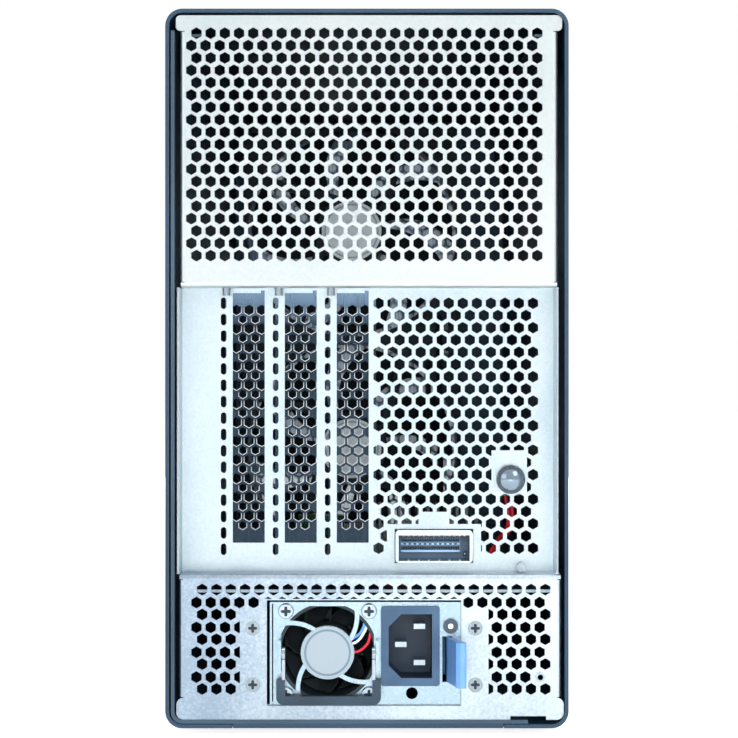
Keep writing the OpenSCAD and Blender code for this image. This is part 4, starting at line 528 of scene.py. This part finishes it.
# Wiring: stranded copper in round PVC jackets, smooth and softly glossy. Red leads run from the button,
# black ones from the fans, and the harness from the power board is yellow.
def jacket(name, colour):
    """Extruded PVC: its colour pales a little along the run, and faint drag lines break the gloss."""
    pvc, tree = started(name)
    place = add(tree, "ShaderNodeTexCoord").outputs["Object"]
    fade = add(tree, "ShaderNodeTexNoise", {"Vector": place, "Scale": per_metre(12.0), "Detail": 1.0})
    lift = add(tree, "ShaderNodeMapRange", {0: fade.outputs[0], 1: 0.3, 2: 0.7, 3: 0.9, 4: 1.08})
    shade = add(tree, "ShaderNodeHueSaturation", {"Color": linear(colour), "Value": lift.outputs[0]})
    drag = add(tree, "ShaderNodeTexNoise", {"Vector": place, "Scale": per_metre(0.8), "Detail": 1.0})
    skin = add(tree, "ShaderNodeBump", {"Height": drag.outputs[0], "Strength": 0.1, "Distance": 0.00005})
    shader = add(tree, "ShaderNodeBsdfPrincipled",
                 {"Base Color": shade.outputs[0], "Roughness": 0.35, "Normal": skin.outputs[0]})
    add(tree, "ShaderNodeOutputMaterial", {"Surface": shader.outputs[0]})
    return pvc


red_jacket = jacket("red_pvc", "#b3202a")
black_jacket = jacket("black_pvc", "#16181a")
yellow_jacket = jacket("yellow_pvc", "#d8a92a")
dress(["mute_button_leads"], red_jacket)
dress(["fan_leads"], black_jacket)
dress(["power_harness"], yellow_jacket)

# Front bezel and its light: an ABS shell in the cover's slate blue, with a frosted light pipe through its
# lower edge.
bezel_abs = moulded("slate_abs", "#22303b", "#2b3a47", 0.5, 0.9, 0.0001)
light_pipe = moulded("frosted_polycarbonate", "#cfe2ea", "#f2f8fa", 0.25, 1.6, 0.00003)
dress(["front_bezel"], bezel_abs)
dress(["front_light"], light_pipe)


# Front grille: sheet steel punched with close rows of round holes, in black powder coat. Its plain border
# is held behind the edge of the bezel's window.
def perforated(low, high, margin, pitch, hole, near_y, far_y):
    """A sheet of hexagonal cells in rows set off by half a pitch. Each is a closed ring, whose outside
    runs through the hexagon's corners and edge middles and whose inside is a circle of as many points."""
    row = pitch * math.sqrt(3.0) / 2.0
    columns = int((high.x - low.x - 2 * margin) / pitch)
    rows = int((high.z - low.z - 2 * margin) / row)
    count = 12
    around = np.arange(count)
    turn = around * np.pi / 6.0
    outside = np.where(around % 2 == 0, pitch / 2.0, pitch / math.sqrt(3.0))
    inside = np.full(count, hole / 2.0)
    loops = [(outside, near_y), (inside, near_y), (inside, far_y), (outside, far_y)]
    cell = np.concatenate([np.stack([r * np.cos(turn), np.full(count, y), r * np.sin(turn)], axis=1)
                           for r, y in loops])
    after = (around + 1) % count
    quads = np.concatenate([
        np.stack([a * count + around, a * count + after, b * count + after, b * count + around], axis=1)
        for a, b in ((0, 1), (1, 2), (2, 3), (3, 0))])
    across, up = np.meshgrid(np.arange(columns), np.arange(rows))
    x = (low.x + high.x) / 2 + (across - (columns - 1) / 2.0 + 0.25 * (2 * (up % 2) - 1)) * pitch
    z = (low.z + high.z) / 2 + (up - (rows - 1) / 2.0) * row
    centres = np.stack([x.ravel(), np.zeros(x.size), z.ravel()], axis=1)
    points = (centres[:, None, :] + cell[None, :, :]).reshape(-1, 3)
    faces = (np.arange(len(centres))[:, None, None] * len(cell) + quads[None, :, :]).reshape(-1, 4)
    return points, faces.tolist()


def framed(low, high, inner_low, inner_high):
    """A flat rectangular frame, its outside and inside given by opposite corners in X, Y and Z."""
    loops = [(low, low.y), (inner_low, low.y), (inner_low, high.y), (low, high.y)]
    far = [high, inner_high, inner_high, high]
    points = np.array([
        (x, y, z) for (near, y), other in zip(loops, far)
        for x, z in ((near.x, near.z), (other.x, near.z), (other.x, other.z), (near.x, other.z))])
    faces = [[a * 4 + i, a * 4 + (i + 1) % 4, b * 4 + (i + 1) % 4, b * 4 + i]
             for a, b in ((0, 1), (1, 2), (2, 3), (3, 0)) for i in range(4)]
    return points, faces


GRILLE_PITCH = 0.0054
GRILLE_HOLE = 0.0043
GRILLE_MARGIN = 0.0055
GRILLE_LAP = 0.003
GRILLE_STEP = 0.0001
grille_paint = powder_coat("black_grille_coat", "#101417", "#171c20", 0.5)
grille_low, grille_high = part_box("front_grille")
rim = Vector((GRILLE_MARGIN + GRILLE_LAP, 0.0, GRILLE_MARGIN + GRILLE_LAP))
grille_points, grille_faces = several([
    perforated(grille_low, grille_high, GRILLE_MARGIN, GRILLE_PITCH, GRILLE_HOLE,
               grille_low.y + GRILLE_STEP, grille_high.y - GRILLE_STEP),
    framed(grille_low, grille_high, grille_low + rim, grille_high - rim),
])
grille = shown("perforated_grille", grille_points, grille_faces, grille_paint, "chassis", smooth=False)
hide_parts("front_grille")


# Dust screen: a woven nylon screen bonded to the back of the grille. Its mesh is too fine to draw, so the
# whole sheet is part see-through, and a coarser shading, 7 mm wide, stands for the weave.
SCREEN_SHOWN = 0.62
SCREEN_INSET = 0.002
SCREEN_THICK = 0.0008
screen_nylon, screen_tree = started("nylon_screen")
screen_place = add(screen_tree, "ShaderNodeTexCoord").outputs["Object"]
screen_weave = add(screen_tree, "ShaderNodeTexWave", {"Vector": screen_place, "Scale": per_metre(7.0)})
screen_shade = add(screen_tree, "ShaderNodeMix",
                   {0: screen_weave.outputs[1], 6: linear("#7897b0"), 7: linear("#93b0c8")},
                   data_type="RGBA")
screen_cloth = add(screen_tree, "ShaderNodeBsdfPrincipled",
                   {"Base Color": screen_shade.outputs[2], "Roughness": 0.7, "Alpha": SCREEN_SHOWN})
add(screen_tree, "ShaderNodeOutputMaterial", {"Surface": screen_cloth.outputs[0]})
screen_low = Vector((grille_low.x + SCREEN_INSET, grille_low.y - SCREEN_THICK,
                     grille_low.z + SCREEN_INSET))
screen_high = Vector((grille_high.x - SCREEN_INSET, grille_low.y, grille_high.z - SCREEN_INSET))
screen_points = np.array([(x, y, z) for y in (screen_low.y, screen_high.y) for x, z in (
    (screen_low.x, screen_low.z), (screen_high.x, screen_low.z),
    (screen_high.x, screen_high.z), (screen_low.x, screen_high.z))])
screen_faces = [(0, 1, 2, 3), (7, 6, 5, 4), (0, 4, 5, 1), (1, 5, 6, 2), (2, 6, 7, 3), (3, 7, 4, 0)]
screen = shown("dust_screen", screen_points, screen_faces, screen_nylon, "chassis", smooth=False)


# Boards: glass-epoxy laminate under green solder mask, with the weave just showing in the gloss. Sockets
# and chip are black mouldings, and the heat sink is plain extruded aluminium.
def solder_mask(name, bare, over_copper):
    """Solder mask: lighter over copper in 9 mm blocks. The weave is too fine to show, so it is drawn at
    6 mm in the gloss."""
    mask, tree = started(name)
    place = add(tree, "ShaderNodeTexCoord").outputs["Object"]
    copper = add(tree, "ShaderNodeTexBrick",
                 {"Vector": place, "Color1": linear(over_copper), "Color2": linear(bare),
                  "Mortar": linear(bare), "Scale": per_metre(9.0), "Mortar Size": 0.05})
    weave = add(tree, "ShaderNodeTexWave", {"Vector": place, "Scale": per_metre(6.0)})
    skin = add(tree, "ShaderNodeBump", {"Height": weave.outputs[1], "Strength": 0.08, "Distance": 0.00005})
    shader = add(tree, "ShaderNodeBsdfPrincipled",
                 {"Base Color": copper.outputs[0], "Roughness": 0.28, "Normal": skin.outputs[0]})
    add(tree, "ShaderNodeOutputMaterial", {"Surface": shader.outputs[0]})
    return mask


board_mask = solder_mask("green_solder_mask", "#0f3223", "#1d4f36")
socket_plastic = moulded("socket_nylon", "#101113", "#181a1c", 0.45, 0.8, 0.00006)
chip_epoxy = moulded("chip_epoxy", "#131416", "#1b1c1f", 0.6, 0.5, 0.00005)
sink_metal = plated("extruded_aluminium", "#c3ccd2", 0.35, 0.6, 0.00005)
dress(["backplane_board", "link_board", "power_board", "psu_board"], board_mask)
dress(["card_socket_left", "card_socket_middle", "card_socket_right", "power_socket"],
      socket_plastic)
dress(["switch_chip"], chip_epoxy)
dress(["switch_heatsink"], sink_metal)

# Link port: a nickel-plated cage over a moulded receptacle. The receptacle's tongue has two slots with a
# row of contacts in each, and palladium plating makes them pale.
port_plastic = moulded("port_lcp", "#3a4d60", "#46596c", 0.4, 0.8, 0.00006)
dress(["link_port_contacts"], port_plastic)


def pillows(centres, size, squareness=0.35):
    """Rounded blocks, one at each centre: a sphere, pushed out towards a box of the given size by raising
    its coordinates to the power squareness."""
    rings, sides = 7, 16
    up = np.linspace(-0.5 * np.pi, 0.5 * np.pi, rings + 2)[1:-1, None]
    turn = np.linspace(0.0, 2.0 * np.pi, sides, endpoint=False)[None, :]
    unit = np.stack([np.cos(up) * np.cos(turn), np.cos(up) * np.sin(turn), np.sin(up) + 0.0 * turn],
                    axis=-1)
    form = np.sign(unit) * np.abs(unit) ** squareness * 0.5
    faces = sleeve_faces(*form.shape[:2])
    return several([((np.array(centre) + form * np.array(size)).reshape(-1, 3), faces)
                    for centre in centres])


CONTACTS = 24
CONTACT_PITCH = 0.00094
CONTACT = (0.00045, 0.0052, 0.00065)
CONTACT_IN = 0.0028
TONGUE_IN = 0.0011
TONGUE_UP = 0.0037
FIRST_CONTACT = 0.0006
ROW_HEIGHTS = (0.00105, 0.00525)
contact_plate = plated("palladium_plate", "#b7c0c6", 0.25, 0.4, 0.00002)
port_low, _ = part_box("link_port_contacts")
cage_low, cage_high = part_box("link_port_cage")
tongue_left = port_low.x + TONGUE_IN
tongue_base = cage_low.z + TONGUE_UP
contact_x = tongue_left + FIRST_CONTACT + CONTACT_PITCH * np.arange(CONTACTS)
contact_centres = [(x, port_low.y + CONTACT_IN, tongue_base + up)
                   for up in ROW_HEIGHTS for x in contact_x]
contact_points, contact_faces = pillows(contact_centres, CONTACT)
contacts = shown("port_contacts", contact_points, contact_faces, contact_plate, "chassis")

# Cage fingers: small curved springs punched from the cage, all along the roof of its mouth and at every
# other place along its floor, which ground the plug's shell.
FINGERS = 13
FINGER_MARGIN = 0.0021
FINGER_SHARE = 0.72
FINGER_LONG = 0.0040
FINGER_THICK = 0.0009
FINGER_IN = 0.0024
ROOF_DROP = 0.0022
FLOOR_RISE = 0.0010
finger_step = (cage_high.x - cage_low.x - 2.0 * FINGER_MARGIN) / FINGERS
finger_x = cage_low.x + FINGER_MARGIN + finger_step * (np.arange(FINGERS) + 0.5)
finger_centres = [(x, cage_low.y + FINGER_IN, cage_high.z - ROOF_DROP) for x in finger_x]
finger_centres += [(x, cage_low.y + FINGER_IN, cage_low.z + FLOOR_RISE) for x in finger_x[1::2]]
finger = (finger_step * FINGER_SHARE, FINGER_LONG, FINGER_THICK)
finger_points, finger_faces = pillows(finger_centres, finger, 0.6)
fingers = shown("cage_fingers", finger_points, finger_faces, nickel_plate, "chassis")

# Tongue trim: a pale moulded land between the two rows of contacts, and a lip below them. The land has
# eleven blind holes, drawn as dark dimples set on its face: a painted shade for their depth.
LAND = (0.0235, 0.0012, 0.0009)
LAND_MIDDLE = 0.0115
LAND_IN = 0.0004
LAND_HEIGHTS = (0.0031, 0.0003)
DIMPLES = 11
DIMPLE = (0.0011, 0.0006, 0.0006)
DIMPLE_PITCH = 0.0020
DIMPLE_FIRST = 0.0014
DIMPLE_PROUD = 0.0001
land_blue = moulded("pale_lcp", "#7c9cbd", "#93b1cf", 0.35, 0.8, 0.00004)
land_centres = [(tongue_left + LAND_MIDDLE, port_low.y + LAND_IN, tongue_base + up)
                for up in LAND_HEIGHTS]
land_points, land_faces = pillows(land_centres, LAND, 0.2)
land = shown("tongue_trim", land_points, land_faces, land_blue, "chassis")
dimple_x = tongue_left + DIMPLE_FIRST + DIMPLE_PITCH * np.arange(DIMPLES)
dimple_points, dimple_faces = pillows(
    [(x, port_low.y - DIMPLE_PROUD, tongue_base + LAND_HEIGHTS[0]) for x in dimple_x], DIMPLE, 0.5)
hole_shades = shown("tongue_hole_shades", dimple_points, dimple_faces, socket_plastic, "chassis")

# Guide pin: a round-nosed steel pin beside the tongue, nickel plated and pressed into the receptacle. It
# shows as one bright spot in the dark port.
PIN = (0.0013, 0.0062, 0.0018)
PIN_FROM_SIDE = 0.0027
PIN_IN = 0.0022
PIN_UP = 0.0029
pin_centre = (cage_high.x - PIN_FROM_SIDE, port_low.y + PIN_IN, cage_low.z + PIN_UP)
pin_points, pin_faces = pillows([pin_centre], PIN, 0.6)
guide_pin = shown("guide_pin", pin_points, pin_faces, nickel_plate, "chassis")

# Push button: a threaded body and nut of turned stainless steel, dark at the rim as a painted shade, round
# a brushed domed cap that takes the light.
button_shaded_steel = plated("shaded_turned_steel", "#3f464c", 0.2, 0.5, 0.00003)
dress(["mute_button_body", "mute_button_nut"], button_shaded_steel)
cap_steel = plated("brushed_stainless", "#8797a5", 0.15, 0.35, 0.00003)
dress(["mute_button_cap"], cap_steel)

# Power supply: a folded steel box and face in bright tinplate, smoother and bluer than the chassis' zinc.
# It slides out of its bay by the handle.
psu_plate = galvanised("bright_tinplate", "#a1b9c6", "#b7cdd8", 30.0, 0.3)
dress(["psu_case", "psu_face"], psu_plate)

# Power supply fan: the same black plastic, seven swept blades on a cup close behind the guard. The open
# side of the cup faces inwards.
psu_rotor_low, psu_rotor_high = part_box("psu_fan_rotor")
psu_frame_low, psu_frame_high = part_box("psu_fan_frame")
psu_middle = ((psu_frame_low.x + psu_frame_high.x) / 2, psu_rotor_low.y,
              (psu_frame_low.z + psu_frame_high.z) / 2)
psu_depth = psu_rotor_high.y - psu_rotor_low.y
psu_tip = (psu_rotor_high.x - psu_rotor_low.x) / 2
PSU_HUB_RADIUS = 0.0103
PSU_HUB_SINK = 0.0004
PSU_SHAFT_RADIUS = 0.001
psu_cup = [(radius, psu_depth - along)
           for radius, along in cup_and_shaft(PSU_HUB_RADIUS, psu_depth, PSU_SHAFT_RADIUS)]
psu_shape = blade(root=PSU_HUB_RADIUS - PSU_HUB_SINK, tip=psu_tip, chord_root=0.012, chord_tip=0.0155,
                  lean_root=-0.95, lean_tip=-0.62, sweep=-0.42, thick=0.0012, mid_y=psu_depth * 0.5,
                  start=0.3)
psu_points, psu_faces = impeller(psu_middle, BLADES, psu_cup, psu_shape)
psu_rotor = shown("psu_impeller", psu_points, psu_faces, rotor_plastic, "psu_rotor")
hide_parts("psu_fan_rotor")

# Power supply fan leads: thin stranded wires in blue, white and red PVC, from a notch in the fan's frame
# to the motor, in front of the blades.
def smooth_route(points, steps):
    """A cubic curve through the points, steps from each to the next. Its slope at a point is half the way
    from the point before to the one after, and its ends are held."""
    p = np.array(points, float)
    before = np.concatenate([p[:1], p[:-1]])[:-1]
    here, there = p[:-1], p[1:]
    after = np.concatenate([p[2:], p[-1:]])
    u = np.linspace(0.0, 1.0, steps, endpoint=False)[None, :, None]
    a, b, c, d = (q[:, None, :] for q in (before, here, there, after))
    square, cube = 2 * a - 5 * b + 4 * c - d, 3 * b - a - 3 * c + d
    curve = 0.5 * (2 * b + (c - a) * u + square * u ** 2 + cube * u ** 3)
    return np.concatenate([curve.reshape(-1, 3), p[-1:]])


# Each bend is a reach in millimetres and a turn in degrees, about the fan's axis.
LEAD_DIAMETER = 0.0011
LEAD_STEPS = 10
LEAD_SIDES = 12
LEADS = (
    ("blue", "#5f97d8", "lead_white",
     [(18.0, 38.0), (17.0, 35.0), (15.6, 32.0), (14.0, 29.5), (11.8, 28.0), (9.4, 27.5)]),
    ("white", "#e9edf0", "lead_white",
     [(18.0, 33.0), (16.8, 30.0), (15.2, 26.5), (13.6, 22.5), (11.6, 19.0), (9.4, 18.0)]),
    ("red", "#d0283e", "lead_red",
     [(18.0, 24.0), (17.3, 19.5), (15.8, 12.0), (13.4, 4.5), (11.4, 0.5), (9.4, -1.0)]),
)
lead_low, lead_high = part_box("psu_fan_leads")
lead_y = (lead_low.y + lead_high.y) / 2
for colour_name, colour, lead_slot, bends in LEADS:
    reach, turn = np.array(bends).T
    reach, turn = reach / 1000.0, np.radians(turn)
    route = np.stack([psu_middle[0] + reach * np.cos(turn), np.full(len(bends), lead_y),
                      psu_middle[2] + reach * np.sin(turn)], axis=1)
    lead_points, lead_faces = tube(smooth_route(route, LEAD_STEPS), LEAD_DIAMETER / 2, LEAD_SIDES)
    thin_pvc = jacket(colour_name + "_pvc_thin", colour)
    lead = shown("psu_lead_" + colour_name, lead_points, lead_faces, thin_pvc, "power_supply")
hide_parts("psu_fan_leads")

# Slot cover rims: the press leaves a rolled lip at the sides and foot of each hexagon in the covers. It is
# drawn in near-white metal, a painted highlight where light from above would catch it. Rows of three wide
# holes alternate with rows of two small.
COVER_ROWS = 24
COVER_PITCH = 0.00493
COVER_ROW = 0.00366
COVER_FIRST = 0.0102
COVER_THICK = 0.0008
COVER_HOLE = 0.0036
SMALL_SHARE = 0.8
LIP = 0.00014
LIP_CORNERS = np.radians([150.0, 210.0, 270.0, 330.0, 390.0])
cover_lips = []
for cover in ("slot_cover_left", "slot_cover_middle", "slot_cover_right"):
    low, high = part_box(cover)
    for row in range(COVER_ROWS):
        wide_row = row % 2 == 0
        flat = COVER_HOLE * (1.0 if wide_row else SMALL_SHARE)
        corner = (flat / 2 + LIP) * 2.0 / math.sqrt(3.0)
        for column in ((-1.0, 0.0, 1.0) if wide_row else (-0.5, 0.5)):
            x = (low.x + high.x) / 2 + column * COVER_PITCH + corner * np.cos(LIP_CORNERS)
            z = high.z - COVER_FIRST - row * COVER_ROW + corner * np.sin(LIP_CORNERS)
            y = np.full(len(LIP_CORNERS), high.y - COVER_THICK)
            cover_lips.append(tube(np.stack([x, y, z], axis=1), LIP, 6))
lip_points, lip_faces = several(cover_lips)
lip_highlight_metal = plated("painted_highlight_steel", "#eef3f6", 0.35, 0.4, 0.00002)
highlight_lips = shown("slot_cover_highlight_rims", lip_points, lip_faces, lip_highlight_metal, "chassis")

# Screw recesses: the cross pressed into each head on the lower panel and on the power supply's fan. Its
# walls see little light, so two crossed bars of dark metal fill it as a painted shade.
CROSS_SHARES = ((0.62, 0.2), (0.2, 0.62))
CROSS_IN = 0.0001
CROSS_DEEP = 0.0003
HEADS = (("bay_screws", 0.00575, "chassis"), ("psu_fan_screws", 0.0063, "power_supply"))
recess_shade_metal = plated("recess_painted_shade", "#3d474f", 0.4, 0.4, 0.00002)
for screws, head, body in HEADS:
    low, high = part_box(screws)
    centres = [(x, low.y + CROSS_IN, z) for x in (low.x + head / 2, high.x - head / 2)
               for z in (low.z + head / 2, high.z - head / 2)]
    bars = [pillows(centres, (head * wide, CROSS_DEEP, head * tall), 0.4) for wide, tall in CROSS_SHARES]
    cross_points, cross_faces = several(bars)
    crosses = shown(screws + "_crosses", cross_points, cross_faces, recess_shade_metal, body)

# Guard disc: a plain satin label stuck over the middle of the finger guard, with one grey ring near its
# edge.
_, face_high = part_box("psu_face")
DISC_RADIUS = 0.0101
DISC_RING_MM = 8.6
DISC_FROM_BACK = 0.0013
guard_centre = (psu_middle[0], face_high.y - DISC_FROM_BACK, psu_middle[2])
guard_paper = label_stock("guard_label", guard_centre, DISC_RING_MM, "#637684", "#929da5")
disc_points, disc_faces = lathe([(DISC_RADIUS, 0.0), (DISC_RADIUS, -LABEL_THICK)], guard_centre)
disc = shown("guard_disc", disc_points, disc_faces, guard_paper, "power_supply", smooth=False)

# Inlet: glass-filled polyamide housing, slate grey, satin moulded. Its cavity is closed and little light
# comes in, so the colour falls off behind the mouth.
inlet_plastic = moulded("inlet_polyamide", "#334a63", "#3d5670", 0.42, 0.9, 0.00006)
dress(["inlet_housing"], inlet_plastic)
CAVITY_SHADE = 0.22
SHADE_START = 0.0006
SHADE_FULL = 0.004
inlet_low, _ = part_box("inlet_housing")
shaded_along(inlet_plastic, 1, inlet_low.y + SHADE_START, inlet_low.y + SHADE_FULL, CAVITY_SHADE)

# Status light: a dark moulded bezel, and in it a small frosted lens of the same plastic as the front
# light.
light_plastic = moulded("light_bezel", "#2f3b44", "#38454f", 0.35, 1.0, 0.00004)
dress(["psu_light"], light_plastic)
light_low, light_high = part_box("psu_light")
LENS = (0.0021, 0.0006, 0.0021)
lens_centre = ((light_low.x + light_high.x) / 2, light_low.y, (light_low.z + light_high.z) / 2)
lens_points, lens_faces = pillows([lens_centre], LENS, 0.9)
lens = shown("psu_light_lens", lens_points, lens_faces, light_pipe, "power_supply")

# Release latch: sky-blue polycarbonate, moulded and glossy. It turns sideways on an upright pin and
# springs back.
latch_plastic = moulded("blue_polycarbonate", "#5c8cca", "#6a9ad6", 0.3, 1.4, 0.00004)
dress(["psu_latch"], latch_plastic)

# Handle grip: dark polyamide with a satin grain, moulded round the steel arms. The arms are dressed with
# the other nickel-plated pieces.
grip_plastic = moulded("grip_polyamide", "#1d2c39", "#263846", 0.42, 0.8, 0.00006)
dress(["psu_handle_grip"], grip_plastic)
